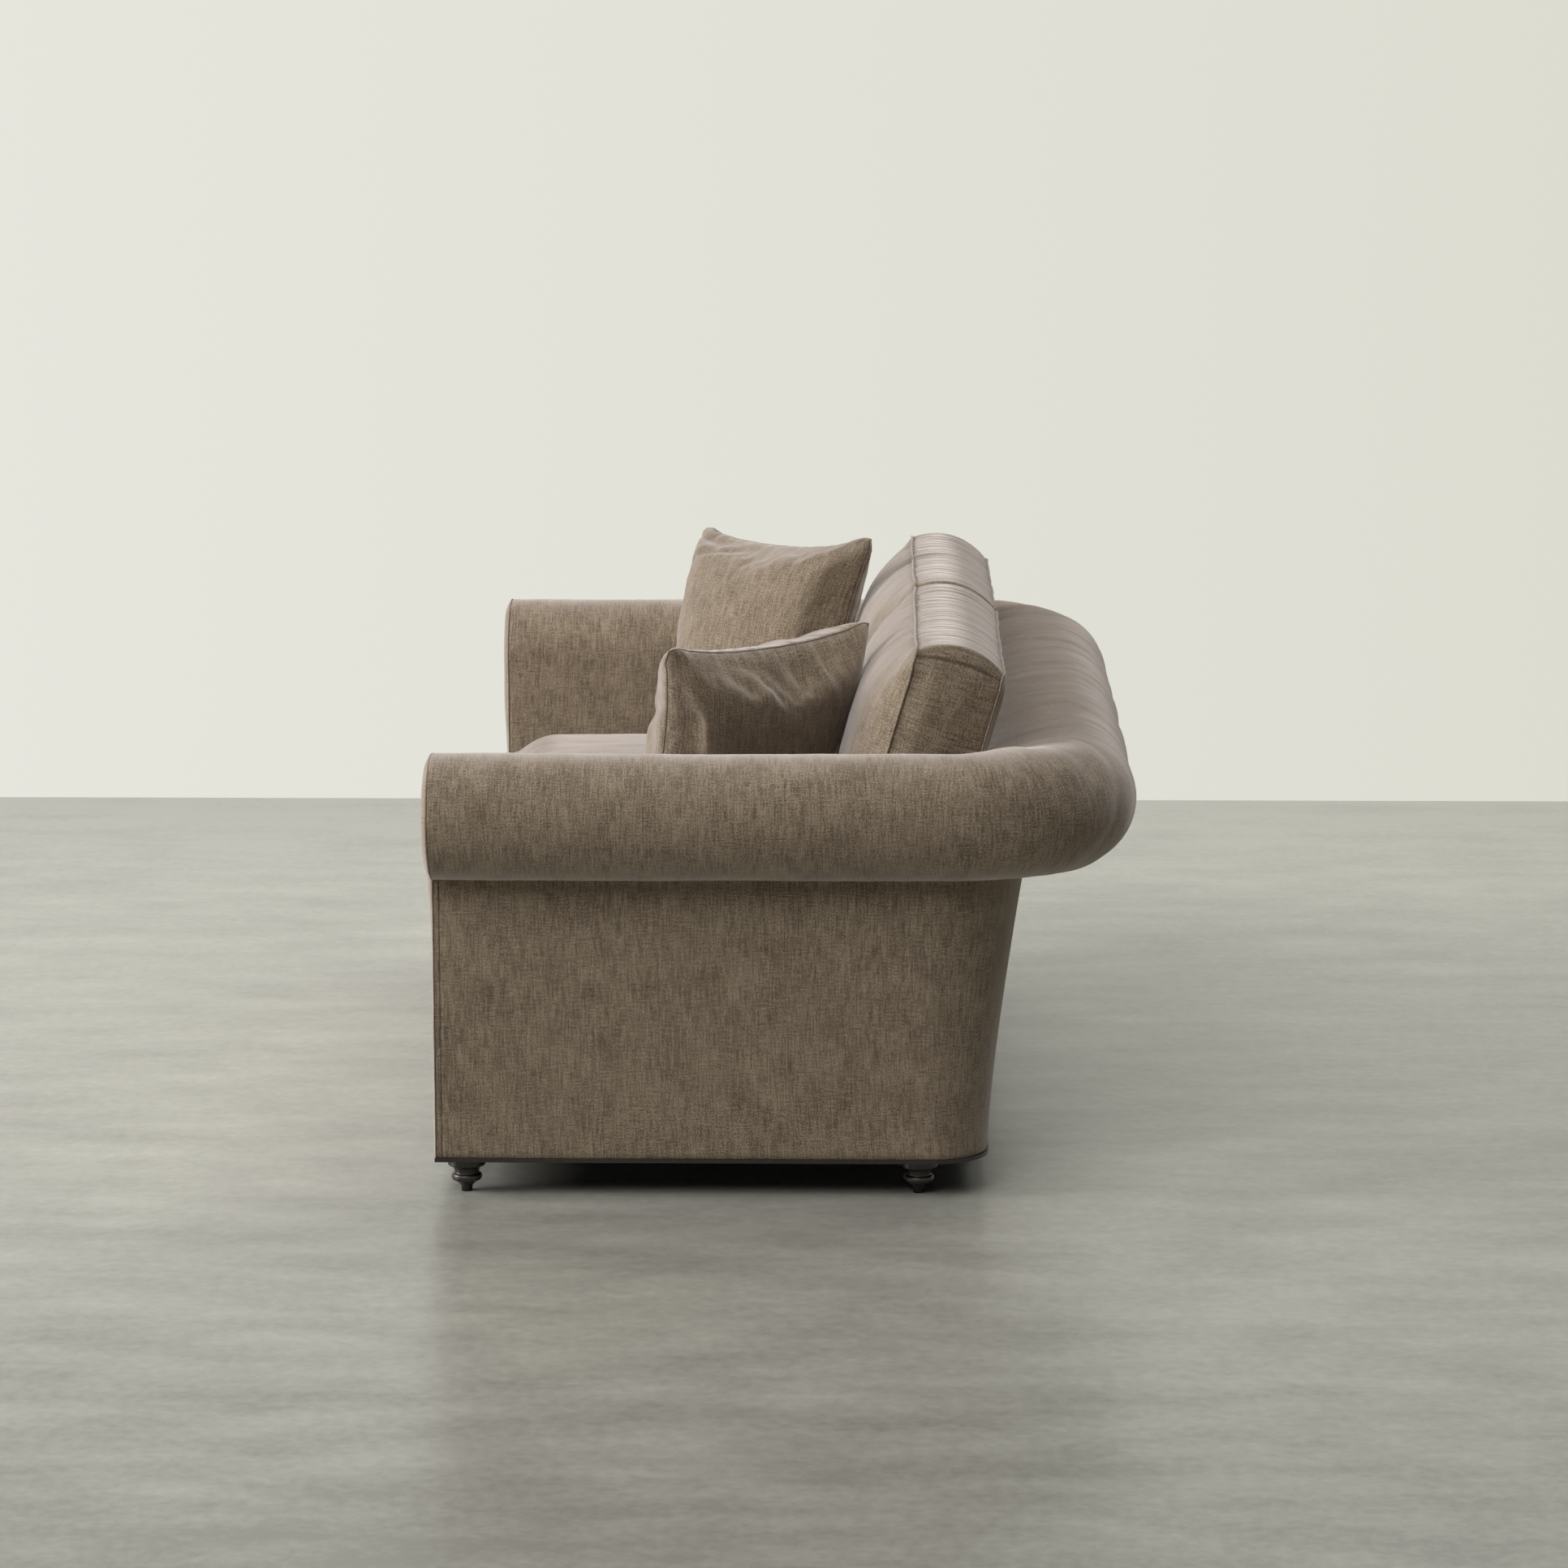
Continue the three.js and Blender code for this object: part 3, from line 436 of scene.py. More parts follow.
def washed_linen(name, slub_share=1.0):
    """A washed linen with streaks and clouds, pleats in gathered strips, ditches and puckers at seams, painted
    shade in the ditches and along the pleats, and a painted sheen where it is seen edge on.
    """

    def recipe(tree):
        cloth_map = tree.nodes.new("ShaderNodeUVMap")
        cloth_map.uv_map = "cloth"
        cloth = cloth_map.outputs["UV"]
        place = tree.place()
        yarns = woven_yarns(tree, cloth, slub_share)
        streaks = tree.noise(cloth, Linen.streak_cell)
        clouds = tree.noise(place, Linen.cloud_cell, Linen.cloud_detail)
        pleat = tree.maths("SUBTRACT", tree.noise(cloth, Linen.pleat_cell, Linen.pleat_detail), NOISE_MIDDLE)
        pleat = tree.maths("MULTIPLY", tree.attribute("pleat"), pleat)
        seam = tree.attribute("seam")
        ditch = tree.maths("DIVIDE", seam, Linen.ditch_width)
        ditch = tree.fading(tree.maths("MULTIPLY", tree.maths("MULTIPLY", ditch, ditch), -1.0))
        pucker = tree.fading(tree.maths("DIVIDE", seam, -Linen.pucker_reach))
        pucker = tree.maths("MULTIPLY", pucker, tree.noise(place, Linen.pucker_cell, 1.0))
        tone = tree.mixed([
            (yarns, 1.0, 0),
            (streaks, Linen.streak_weight, NOISE_MIDDLE),
            (clouds, Linen.cloud_weight, NOISE_MIDDLE),
            # Painted shade and light along the pleats
            (pleat, Linen.pleat_painted_shade, 0),
            # Painted shade in the seam ditches
            (ditch, Linen.ditch_painted_shade, 0),
        ])
        height = tree.mixed([
            (yarns, Linen.yarn_height, 0),
            (pucker, Linen.pucker_height, 0),
            (pleat, Linen.pleat_height, 0),
            (ditch, -Linen.ditch_depth, 0),
        ])
        # Painted sheen over the colour where the cloth is seen edge on
        colour = painted_sheen_over(tree, cloth, tree.ramp(tone, Linen.tones))
        return {"Base Color": colour, "Normal": tree.bump(height, Linen.bump_strength), **Linen.finish}

    return surface(name, recipe)


RELIEF_STRENGTH = 0.4
RELIEF_DETAIL = 4.0
TONE_SHARES = (0.3, 0.7)
GRAIN_CELL = [55 * MM, 4 * MM, 4 * MM]
TURNED_GRAIN_CELL = [4 * MM, 4 * MM, 40 * MM]
WOOD_RELIEF = 0.3 * MM
CLOTH_RELIEF = 0.8 * MM

# The other materials: dark and pale tone, the cells they lie in, roughness, metal or not, and relief
TWO_TONES = {
    "dark_wood": ((0.010, 0.0065, 0.0055), (0.026, 0.017, 0.013), TURNED_GRAIN_CELL, 0.33, 0, WOOD_RELIEF),
    "frame_wood": ((0.42, 0.29, 0.16), (0.58, 0.43, 0.26), GRAIN_CELL, 0.7, 0, WOOD_RELIEF),
    "webbing": ((0.20, 0.15, 0.09), (0.33, 0.26, 0.17), [2 * MM] * 3, 0.9, 0, CLOTH_RELIEF),
    "black_cloth": ((0.010, 0.010, 0.010), (0.020, 0.019, 0.018), [1.2 * MM] * 3, 0.95, 0, CLOTH_RELIEF),
    "filling": ((0.60, 0.55, 0.40), (0.72, 0.67, 0.52), [4 * MM] * 3, 0.95, 0, CLOTH_RELIEF),
    "zinc_steel": ((0.42, 0.42, 0.40), (0.56, 0.56, 0.55), [3 * MM] * 3, 0.42, 1, WOOD_RELIEF),
}


def two_tone(name, dark, pale, cell, roughness, metal, relief):
    """A material of two tones in cells, with a matching relief."""

    def recipe(tree):
        cells = tree.noise(tree.place(), cell, RELIEF_DETAIL)
        return {
            "Base Color": tree.ramp(cells, list(zip(TONE_SHARES, (dark, pale)))),
            "Normal": tree.bump(cells, RELIEF_STRENGTH, relief),
            "Roughness": roughness,
            "Metallic": metal,
        }

    return surface(name, recipe)


PIPING_SLUB_SHARE = 0.5
MATERIALS = {name: two_tone(name, *look) for name, look in TWO_TONES.items()}
MATERIALS["linen"] = washed_linen("linen")
MATERIALS["piping_linen"] = washed_linen("piping_linen", PIPING_SLUB_SHARE)


def dress(piece, body, slot="linen", look=None):
    """Gives a piece its look, which is its slot's own if none is named, and has it ride on a body."""
    piece.data.materials.append(MATERIALS[look or slot])
    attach(piece, body)
    return piece


# The cloth over the arms, the corners and the back: one skin from the left arm's front to the right arm's


class Wrap:
    """Sizes of the skin over the arms, corners and back."""

    spacing = 5 * MM
    fine_spacing = 1 * MM
    fine_run = 16 * MM
    tuck_angle = 0.16
    front_turn = 1.4 * MM
    front_turn_run = 4 * MM
    pucker_middle = 5 * MM
    pucker_width = 8 * MM
    roll_from = 220 * MM
    roll_full = 120 * MM
    corner_middle = 110 * MM
    corner_width = 90 * MM
    gather_drop = 110 * MM
    gather_width = 80 * MM
    ridge_turn = 40 * MM
    ridge_drop = 40 * MM
    ridge_width = 45 * MM
    ridge_length = 70 * MM
    ridge_height = 7 * MM
    ditch_drop = 105 * MM
    ditch_depth = 5 * MM
    arm_lines_share = 0.25
    band_slant = 0.35


STUFFING = {"u": 160 * MM, "v": 120 * MM, "height": 1.8 * MM, "seed": 3}
BACK_BANDS = {"u": 62 * MM, "v": 380 * MM, "height": 5.0 * MM, "seed": 8}
BACK_LINES = {"u": 19 * MM, "v": 210 * MM, "height": 1.6 * MM, "seed": 17}
CORNER_GATHERS = {"u": 24 * MM, "v": 240 * MM, "height": 4.5 * MM, "seed": 12}
WRAP_PUCKER = {"u": 14 * MM, "v": 30 * MM, "height": 0.7 * MM, "seed": 15}


def wrap_face():
    """The inside faces, from the deck up to where the roll and the back's dome begin."""
    count = int((ROLL_Z - DECK_Z) / (2 * Wrap.spacing))
    share = np.arange(count) / count
    back_z = lerp(DECK_Z, DOME_Z, share)
    inner_x, corner = np.full(count, INNER_X), np.full(count, INNER_CORNER)
    return inner_x, lerp(DECK_Z, ROLL_Z, share), inside_face_y(back_z), back_z, corner


def wrap_rise(quarter_steps):
    """From the inside faces up to the top."""
    angle = np.arange(quarter_steps) / quarter_steps * QUARTER_TURN
    run, rise = np.cos(angle), np.sin(angle)
    arm_x, arm_z = ROLL_X - ROLL_RADIUS * run, ROLL_Z + ROLL_RADIUS * rise
    back_y = ROLL_Y - (ROLL_Y - inside_face_y(DOME_Z)) * run
    return arm_x, arm_z, back_y, DOME_Z + DOME_DROP * rise, lerp(INNER_CORNER, CORNER_RADIUS, 1 - run)


def wrap_fall(quarter_steps):
    """From the top round the outside of the roll to its underside."""
    angle = QUARTER_TURN - np.arange(2 * quarter_steps) / quarter_steps * QUARTER_TURN
    out = ROLL_RADIUS * np.cos(angle)
    height = ROLL_Z + ROLL_RADIUS * np.sin(angle)
    return ROLL_X + out, height, ROLL_Y + out, height, CORNER_RADIUS + out


def wrap_tuck(quarter_steps):
    """Under the roll, on until the outside panels hide the skin."""
    arm_angle = np.linspace(0, Wrap.tuck_angle, quarter_steps // 2)
    panel_angle = Wrap.tuck_angle + math.acos((ROLL_Z - PANEL_TOP_Z) / ROLL_RADIUS)
    back_angle = arm_angle / Wrap.tuck_angle * panel_angle
    arm_x, arm_z = ROLL_X - ROLL_RADIUS * np.sin(arm_angle), ROLL_Z - ROLL_RADIUS * np.cos(arm_angle)
    back_y, back_z = ROLL_Y - ROLL_RADIUS * np.sin(back_angle), ROLL_Z - ROLL_RADIUS * np.cos(back_angle)
    return arm_x, arm_z, back_y, back_z, CORNER_RADIUS - (ROLL_X - arm_x)


def wrap_stations():
    """Columns of arm x, arm z, back y, back z and corner radius, from the deck over the roll to under it."""
    quarter_steps = int(ROLL_RADIUS * QUARTER_TURN / Wrap.spacing)
    stretches = (wrap_face(), wrap_rise(quarter_steps), wrap_fall(quarter_steps), wrap_tuck(quarter_steps))
    return [np.concatenate(columns) for columns in zip(*stretches)]


def corner_ring(x, y, radius, angle):
    """The place at a turn round a rear corner whose ends are at x and at y."""
    return x - radius + radius * np.cos(angle), y - radius + radius * np.sin(angle)


def wrap_rings(arm_x, arm_z, back_y, back_z, radius):
    """Rings from the left arm's front to the middle of the back, and the steps of its corner and back."""
    arm_end = back_y - radius
    run_end = np.median(arm_end)
    rings = []
    for y in graded(FRONT_Y, run_end, Wrap.fine_spacing, Wrap.spacing, Wrap.fine_run):
        share = (y - FRONT_Y) / (run_end - FRONT_Y)
        rings.append(joined(arm_x, lerp(FRONT_Y, arm_end, share), arm_z))
    corner_steps = int(CORNER_RADIUS * QUARTER_TURN / Wrap.spacing)
    for i in range(1, corner_steps + 1):
        share = i / corner_steps
        x, y = corner_ring(arm_x, back_y, radius, share * QUARTER_TURN)
        rings.append(joined(x, y, lerp(arm_z, back_z, share)))
    back_start = arm_x - radius
    back_steps = int(np.median(back_start) / Wrap.spacing)
    for i in range(1, back_steps + 1):
        rings.append(joined(lerp(back_start, 0, i / back_steps), back_y, back_z))
    return np.array(rings), corner_steps, back_steps


def wrap_relief(u, v, along, u_corner, v_top):
    """Stuffing, bands and lines across the back's roll, and gathers, a ridge and a hollow at the corners."""
    on_roll = smooth(v_top - Wrap.roll_from, v_top - Wrap.roll_full, v)
    on_back = smooth(u_corner - Wrap.corner_width, u_corner + Wrap.corner_middle, along)
    slanted = u + Wrap.band_slant * v
    amount = folds(u, v, STUFFING) * on_roll
    amount += folds(slanted, v, BACK_BANDS) * on_back * on_roll
    amount += folds(slanted, v, BACK_LINES) * lerp(Wrap.arm_lines_share, 1, on_back) * on_roll
    in_corner = bell(along, u_corner, Wrap.corner_width)
    amount += folds(u, v, CORNER_GATHERS) * in_corner * bell(v, v_top - Wrap.gather_drop, Wrap.gather_width)
    ridge = bell(along, u_corner - Wrap.ridge_turn, Wrap.ridge_length)
    amount += Wrap.ridge_height * ridge * bell(v, v_top - Wrap.ridge_drop, Wrap.ridge_width)
    amount -= Wrap.ditch_depth * ridge * bell(v, v_top - Wrap.ditch_drop, Wrap.ridge_width)
    amount -= Wrap.front_turn * (1 - smooth(0, Wrap.front_turn_run, along))
    amount += folds(v, u, WRAP_PUCKER) * bell(along, Wrap.pucker_middle, Wrap.pucker_width) * on_roll
    return amount


def build_wrap():
    """The skin over the pads, from one arm's front to the other's."""
    stations = wrap_stations()
    rings, corner_steps, back_steps = wrap_rings(*stations)
    points = with_mirror(rings)
    top = int(np.argmax(stations[1]))
    u_line = path_length(points[:, top])
    v_line = path_length(points[0])
    u, v = np.meshgrid(u_line, v_line, indexing="ij")
    corner_from = len(rings) - back_steps - corner_steps
    u_corner = (u_line[corner_from] + u_line[corner_from + corner_steps]) / 2
    along = np.minimum(u, u_line[-1] - u)
    amount = wrap_relief(u, v, along, u_corner, v_line[top])
    points = points - grid_normals(points) * amount[:, :, None]
    skin = grid_object("upholstery_skin", points, u, v, along)
    pads = ("arm_pad_left", "arm_pad_right", "back_corner_pad_left", "back_corner_pad_right", "back_pad")
    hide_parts(*pads)
    return dress(skin, "frame")


# The outside of the arms and the back, below the roll: one skin round the rear corners


class Outside:
    """Sizes and steps of the skin below the roll."""

    spacing = 6 * MM
    fine_spacing = 1 * MM
    fine_run = 26 * MM
    rise_steps = 72
    corner_steps = 36
    back_steps = 110
    settle_rounds = 5
    rise_from_share = 0.5
    tuck = 1 * MM
    stitch_line = 10 * MM
    stitch_width = 1.3 * MM
    stitch_depth = 0.9 * MM
    front_turn = 2.2 * MM
    front_turn_run = 3 * MM
    foot_turn = 2.5 * MM
    foot_turn_run = 6 * MM
    pucker_width = 9 * MM
    edge_margin = 2 * MM
    stitch_faintness = 0.9 * MM


PANEL_PUCKER = {"u": 11 * MM, "v": 20 * MM, "height": 0.6 * MM, "seed": 21}
PANEL_LUMPS = {"u": 220 * MM, "v": 140 * MM, "height": 1.2 * MM, "seed": 23}


def roll_underside(x, y):
    """Height of the roll's underside over a place on the plan."""
    dx = x - (ROLL_X - CORNER_RADIUS)
    dy = y - (ROLL_Y - CORNER_RADIUS)
    beside = np.where(dx > 0, np.abs(dx - CORNER_RADIUS), np.abs(dy - CORNER_RADIUS))
    round_corner = np.abs(np.hypot(dx, dy) - CORNER_RADIUS)
    offset = np.where((dx > 0) & (dy > 0), round_corner, beside)
    return ROLL_Z - np.sqrt(np.maximum(ROLL_RADIUS**2 - offset**2, 0))


def panel_face_y(height_share):
    return lerp(PANEL_FOOT_Y, PANEL_TOP_Y, height_share**PANEL_FLARE_POWER)


def panel_radius(height_share):
    return lerp(PANEL_RADIUS_LOW, PANEL_RADIUS_HIGH, height_share)


def outside_column(angle, rise):
    """A column of points up the outside, at a turn round the rear corner."""
    top = PANEL_TOP_Z
    for _ in range(Outside.settle_rounds):
        share = np.clip((top - BASE_Z) / (PANEL_TOP_Z - BASE_Z), 0, 1)
        x, y = corner_ring(ROLL_X, panel_face_y(share), panel_radius(share), angle)
        top = min(float(roll_underside(x, y)), PANEL_TOP_Z) + Outside.tuck
    height = lerp(BASE_Z, top, rise)
    share = np.clip((height - BASE_Z) / (PANEL_TOP_Z - BASE_Z), 0, 1)
    x, y = corner_ring(ROLL_X, panel_face_y(share), panel_radius(share), angle)
    return joined(x, y, height)


def outside_rings(rise):
    """Columns along the left side from its front, round the rear corner and along the back to the middle."""
    arm_height = lerp(BASE_Z, roll_underside(ROLL_X, 0.0) + Outside.tuck, rise)
    side_end = outside_column(0, rise)
    end_y = side_end[0, 1]
    rings = []
    for y in graded(FRONT_Y, end_y, Outside.fine_spacing, Outside.spacing, Outside.fine_run):
        share = (y - FRONT_Y) / (end_y - FRONT_Y)
        place_y = lerp(FRONT_Y, side_end[:, 1], share)
        height = lerp(arm_height, side_end[:, 2], smooth(Outside.rise_from_share, 1, share))
        rings.append(joined(ROLL_X, place_y, height))
    for i in range(1, Outside.corner_steps + 1):
        rings.append(outside_column(i / Outside.corner_steps * QUARTER_TURN, rise))
    back_ring = rings[-1]
    for i in range(1, Outside.back_steps + 1):
        rings.append(back_ring * np.array([1 - i / Outside.back_steps, 1, 1]))
    return np.array(rings)


def outward_sign(points):
    """1 if a grid's normals point away from the sofa's middle, else -1."""
    middle = np.array([0, 0, ROLL_Z / 2])
    return 1 if np.sum(grid_normals(points) * (points - middle)) > 0 else -1


def build_outside():
    """The skin of the outside arms and back, from one arm's front to the other's."""
    rise = np.linspace(0, 1, Outside.rise_steps)
    rings = outside_rings(rise)
    points = with_mirror(rings)
    u_line = path_length(points[:, len(rise) // 2])
    v_line = path_length(points[len(rings) // 3])
    u, v = np.meshgrid(u_line, v_line, indexing="ij")
    along = np.minimum(u, u_line[-1] - u)

    # The front edge turns in beside the facing; a stitched line runs down behind it
    amount = -Outside.front_turn * (1 - smooth(0, Outside.front_turn_run, along))
    amount -= Outside.stitch_depth * bell(along, Outside.stitch_line, Outside.stitch_width)
    amount += folds(v, u, PANEL_PUCKER) * bell(along, Outside.stitch_line, Outside.pucker_width)
    amount += folds(u, v, PANEL_LUMPS)
    amount -= Outside.foot_turn * (1 - smooth(0, Outside.foot_turn_run, v))
    points = points + grid_normals(points) * amount[:, :, None] * outward_sign(points)
    # The distance from the seams sets the painted shade in the linen: fainter along the stitching, full at the
    # front edge
    from_stitches = np.abs(along - Outside.stitch_line) + Outside.stitch_faintness
    seam = np.minimum(from_stitches, along + Outside.edge_margin)
    skin = grid_object("outside_skin", points, u, v, seam)
    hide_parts("outside_arm_left", "outside_arm_right", "outside_back")
    return dress(skin, "frame")


# The scroll-shaped facings of the arms and the border under the seat cushions


class Facing:
    """Sizes and steps of an arm's facing."""

    dome_reach = 24 * MM
    edge_share = 0.85
    leg_share = 0.45
    leg_from = 190 * MM
    leg_to = 70 * MM
    leg_steps = 60
    head_steps = 90
    back_step = 1 * MM
    inset_steps = 14
    last_share = 0.92
    pucker_middle = 4 * MM
    pucker_width = 4 * MM


FACING_LUMPS = {"u": 50 * MM, "v": 70 * MM, "height": 0.5 * MM, "seed": 31}
FACING_PUCKER = {"u": 10 * MM, "v": 30 * MM, "height": 0.5 * MM, "seed": 33}


class Border:
    """Sizes and steps of the front border."""

    steps = 240
    edge = 6 * MM
    edge_steps = 7
    fall_steps = 40
    free_rise = 20 * MM
    free_side = 30 * MM
    edge_margin = 1 * MM


BORDER_LUMPS = {"u": 150 * MM, "v": 100 * MM, "height": 0.8 * MM, "seed": 41}


def scroll_outline(inset):
    """A left arm's front in X and Z, drawn in by an inset, from its inner foot round to the outer."""
    radius = ROLL_RADIUS - inset
    leg_angle = math.asin(inset / radius)
    rise = np.linspace(0, 1, Facing.leg_steps, endpoint=False)
    inner = joined(INNER_X + inset, lerp(BASE_Z, ROLL_Z, rise))
    angle = np.linspace(math.pi, -QUARTER_TURN - leg_angle, Facing.head_steps)
    head = joined(ROLL_X + radius * np.cos(angle), ROLL_Z + radius * np.sin(angle))
    fall = np.linspace(0, 1, Facing.leg_steps)[1:]
    outer = joined(ROLL_X - inset, lerp(head[-1, 1], BASE_Z, fall))
    return np.concatenate([inner, head, outer])


def facing_depth(inset, inset_share, outline):
    """How far the facing stands out at an inset: a soft dome, flatter down the leg."""
    edge = min(inset / Facing.dome_reach, 1)
    fullness = 1 - (1 - edge) ** 2
    crown = math.sin(inset_share * QUARTER_TURN)
    on_head = smooth(ROLL_Z - Facing.leg_from, ROLL_Z - Facing.leg_to, outline[:, 1])
    swell = (FRONT_Y - facing_low[1]) * lerp(Facing.leg_share, 1, on_head)
    depth = swell * (Facing.edge_share * fullness + (1 - Facing.edge_share) * crown)
    pucker = folds(path_length(outline), inset, FACING_PUCKER)
    pucker = pucker * bell(inset, Facing.pucker_middle, Facing.pucker_width)
    return depth + fullness * folds(outline[:, 0], outline[:, 1], FACING_LUMPS) + pucker


def build_facing(side, sign):
    """One arm's facing, in rings from its rim inward."""
    share = np.linspace(0, 1, Facing.inset_steps) ** 2
    last_inset = Facing.last_share * (ROLL_X - INNER_X) / 2
    rings = []
    for inset_share in share:
        inset = last_inset * inset_share
        outline = scroll_outline(inset)
        y = FRONT_Y - facing_depth(inset, inset_share, outline) + Facing.back_step * (inset == 0)
        rings.append(joined(sign * outline[:, 0], y, outline[:, 1]))
    grid = np.array(rings)
    rows, columns, _ = grid.shape
    faces = [tuple(f) for f in grid_faces(rows, columns)]

    # The last ring's two sides lie beside each other, so short quads between them close the facing
    last = (rows - 1) * columns
    for i in range(columns // 2 - 1):
        a, b = last + i, last + columns - 1 - i
        faces.append((b, b - 1, a + 1, a))
    points = grid.reshape(-1, 3)
    loop_uvs = [(abs(points[i, 0]), points[i, 2]) for face in faces for i in face]
    piece = mesh_object(f"facing_{side}", points, faces, loop_uvs, np.repeat(last_inset * share, columns))
    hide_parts(f"arm_facing_{side}")
    return dress(piece, "frame")


def border_profile():
    """The border from its top edge round to its foot, as distances behind the front and heights."""
    top = border_high[2] - Border.edge
    points = [(border_high[1] - border_low[1], border_high[2])]
    for angle in np.linspace(0, QUARTER_TURN, Border.edge_steps):
        points.append((Border.edge * (1 - math.sin(angle)), top + Border.edge * math.cos(angle)))
    for z in np.linspace(top, BASE_Z + Border.edge, Border.fall_steps)[1:]:
        points.append((0, z))
    points.append((Border.edge / 2, BASE_Z))
    return np.array(points)


def build_border():
    """The padded border under the seat cushions, with a rounded top and a turned foot."""
    width = border_high[0]
    x = np.linspace(-width, width, Border.steps)
    profile = border_profile()
    points = joined(x[:, None], FRONT_Y + profile[:, 0], profile[:, 1])
    u, v = np.meshgrid(x, path_length(points[0]), indexing="ij")
    from_end = width - np.abs(u)
    free = smooth(0, Border.free_rise, v) * smooth(0, Border.free_side, from_end)
    points[:, :, 1] += (folds(u, v, BORDER_LUMPS) + BORDER_LUMPS["height"]) * free
    piece = grid_object("border_skin", points, u, v, np.minimum(v + Border.edge_margin, from_end))
    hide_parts("front_border")
    return dress(piece, "frame")


# Cushions: closed quad meshes on a lattice of their flat-cut panels, blown up as cloth

# The cloth of the panels across each axis starts at a place of its own
PANEL_SHIFT = 1.0


def panel_quads(counts, axis, level):
    """The lattice places of each quad of the panel at a level of one axis, turned to face outward."""
    a, b = [n for n in range(3) if n != axis]
    turned = (level > 0) == (axis == 1)
    for m in range(counts[a]):
        for n in range(counts[b]):
            quad = np.zeros((4, 3), int)
            quad[:, axis] = level
            quad[:, a] = (m, m + 1, m + 1, m)
            quad[:, b] = (n, n, n + 1, n + 1)
            yield quad[::-1] if turned else quad


def lattice_cushion(name, size, cell, knife):
    """A box of quads. size is width, depth and boxing; with knife, its two faces share their rims."""
    size = np.array(size)
    counts = np.maximum(np.round(size / cell), 1).astype(int)
    panels = [(axis, level) for axis in (2, 0, 1) for level in (0, counts[axis])]
    if knife:
        counts[2] = 1
        panels = [(2, 0), (2, 1)]
    index, points, faces, loop_uvs = {}, [], [], []

    def vertex(place):
        on_rim = knife and np.any((place == 0)[:2] | (place == counts)[:2])
        key = (*place[:2], 0 if on_rim else place[2])
        if key not in index:
            index[key] = len(points)
            flat = (place / counts - 0.5) * size
            points.append(flat * np.array([1, 1, 0]) if on_rim else flat)
        return index[key]

    for axis, level in panels:
        across = [n for n in range(3) if n != axis]
        for quad in panel_quads(counts, axis, level):
            faces.append([vertex(place) for place in quad])
            for place in quad:
                loop_uvs.append(place[across] / counts[across] * size[across] + (PANEL_SHIFT * axis, 0))
    points = np.array(points)
    piece = mesh_object(name, points, faces, loop_uvs, np.zeros(len(points)))
    rest = piece.data.attributes.new("rest", "FLOAT_VECTOR", "POINT")
    rest.data.foreach_set("vector", points.ravel())
    return piece, points, size / 2, size / counts


def put_points(mesh, points):
    mesh.vertices.foreach_set("co", points.ravel())
    mesh.update()


def inflate(piece, pressure, stiffness, frames, longest_move):
    """Blows a piece up as cloth and keeps each point within its longest move."""
    start = vectors(piece.data.vertices, "co")
    modifier = piece.modifiers.new("cloth", "CLOTH")
    cloth = modifier.settings
    cloth.quality = 5
    cloth.mass = 0.3
    cloth.tension_stiffness = stiffness
    cloth.compression_stiffness = stiffness
    cloth.shear_stiffness = stiffness / 4
    cloth.bending_stiffness = 0.05
    cloth.use_pressure = True
    cloth.uniform_pressure_force = pressure
    cloth.effector_weights.gravity = 0
    modifier.point_cache.frame_end = frames
    scene = bpy.context.scene
    for moment in range(1, frames + 1):
        scene.frame_set(moment)
    depsgraph = bpy.context.evaluated_depsgraph_get()
    move = vectors(piece.evaluated_get(depsgraph).data.vertices, "co") - start
    piece.modifiers.remove(modifier)
    scene.frame_set(1)
    length = np.maximum(np.linalg.norm(move, axis=1, keepdims=True), TINY)
    put_points(piece.data, start + move * np.minimum(1, longest_move / length))


def refine(piece):
    """Subdivides a piece for good, with its attributes, and returns its flat-cut places."""
    modifier = piece.modifiers.new("finer", "SUBSURF")
    modifier.levels = 1
    depsgraph = bpy.context.evaluated_depsgraph_get()
    finer = bpy.data.meshes.new_from_object(piece.evaluated_get(depsgraph), depsgraph=depsgraph)
    piece.modifiers.remove(modifier)
    piece.data = finer
    finer.shade_smooth()
    return vectors(finer.attributes["rest"].data, "vector")


def blown_up(piece, start, kind, seed):
    """Gives a piece its starting shape, shaken a little, blows it up and returns its flat-cut places."""
    start += np.random.default_rng(seed).normal(0, kind.jitter, start.shape)
    put_points(piece.data, start)
    inflate(piece, kind.pressure, kind.stiffness, kind.frames, kind.longest_move)
    return refine(piece)


def raised(mesh, height):
    """A mesh's points, moved along their normals by a height."""
    return vectors(mesh.vertices, "co") + vectors(mesh.vertex_normals, "vector") * height


def set_attribute(mesh, name, values):
    layer = mesh.attributes.get(name) or mesh.attributes.new(name, "FLOAT", "POINT")
    layer.data.foreach_set("value", np.asarray(values, float))


def rest_against(points, neighbours, gap, reach):
    """Presses points out of the neighbouring pieces, which flattens a cushion only where it rests."""
    pressed = points.copy()
    for tree in neighbours:
        for i, point in enumerate(pressed):
            place, normal, _, _ = tree.find_nearest(Vector(point), reach)
            if place is not None and (Vector(point) - place).dot(normal) < gap:
                pressed[i] = place + normal * gap
    return pressed


def tree_of(piece):
    mesh = piece.data
    return BVHTree.FromPolygons([v.co for v in mesh.vertices], [p.vertices for p in mesh.polygons])


def placed(points, placement):
    """Points turned and moved by a placement."""
    return points @ np.array(placement.to_3x3()).T + np.array(placement.translation)


# Piping along the seams of the cushions


class Piping:
    """Sizes of the cords along the seams."""

    radius = 2.1 * MM
    proud = 1.6 * MM
    knife_radius = 1.2 * MM
    around = 10
    smoothing = 2
    knife_smoothing = 1


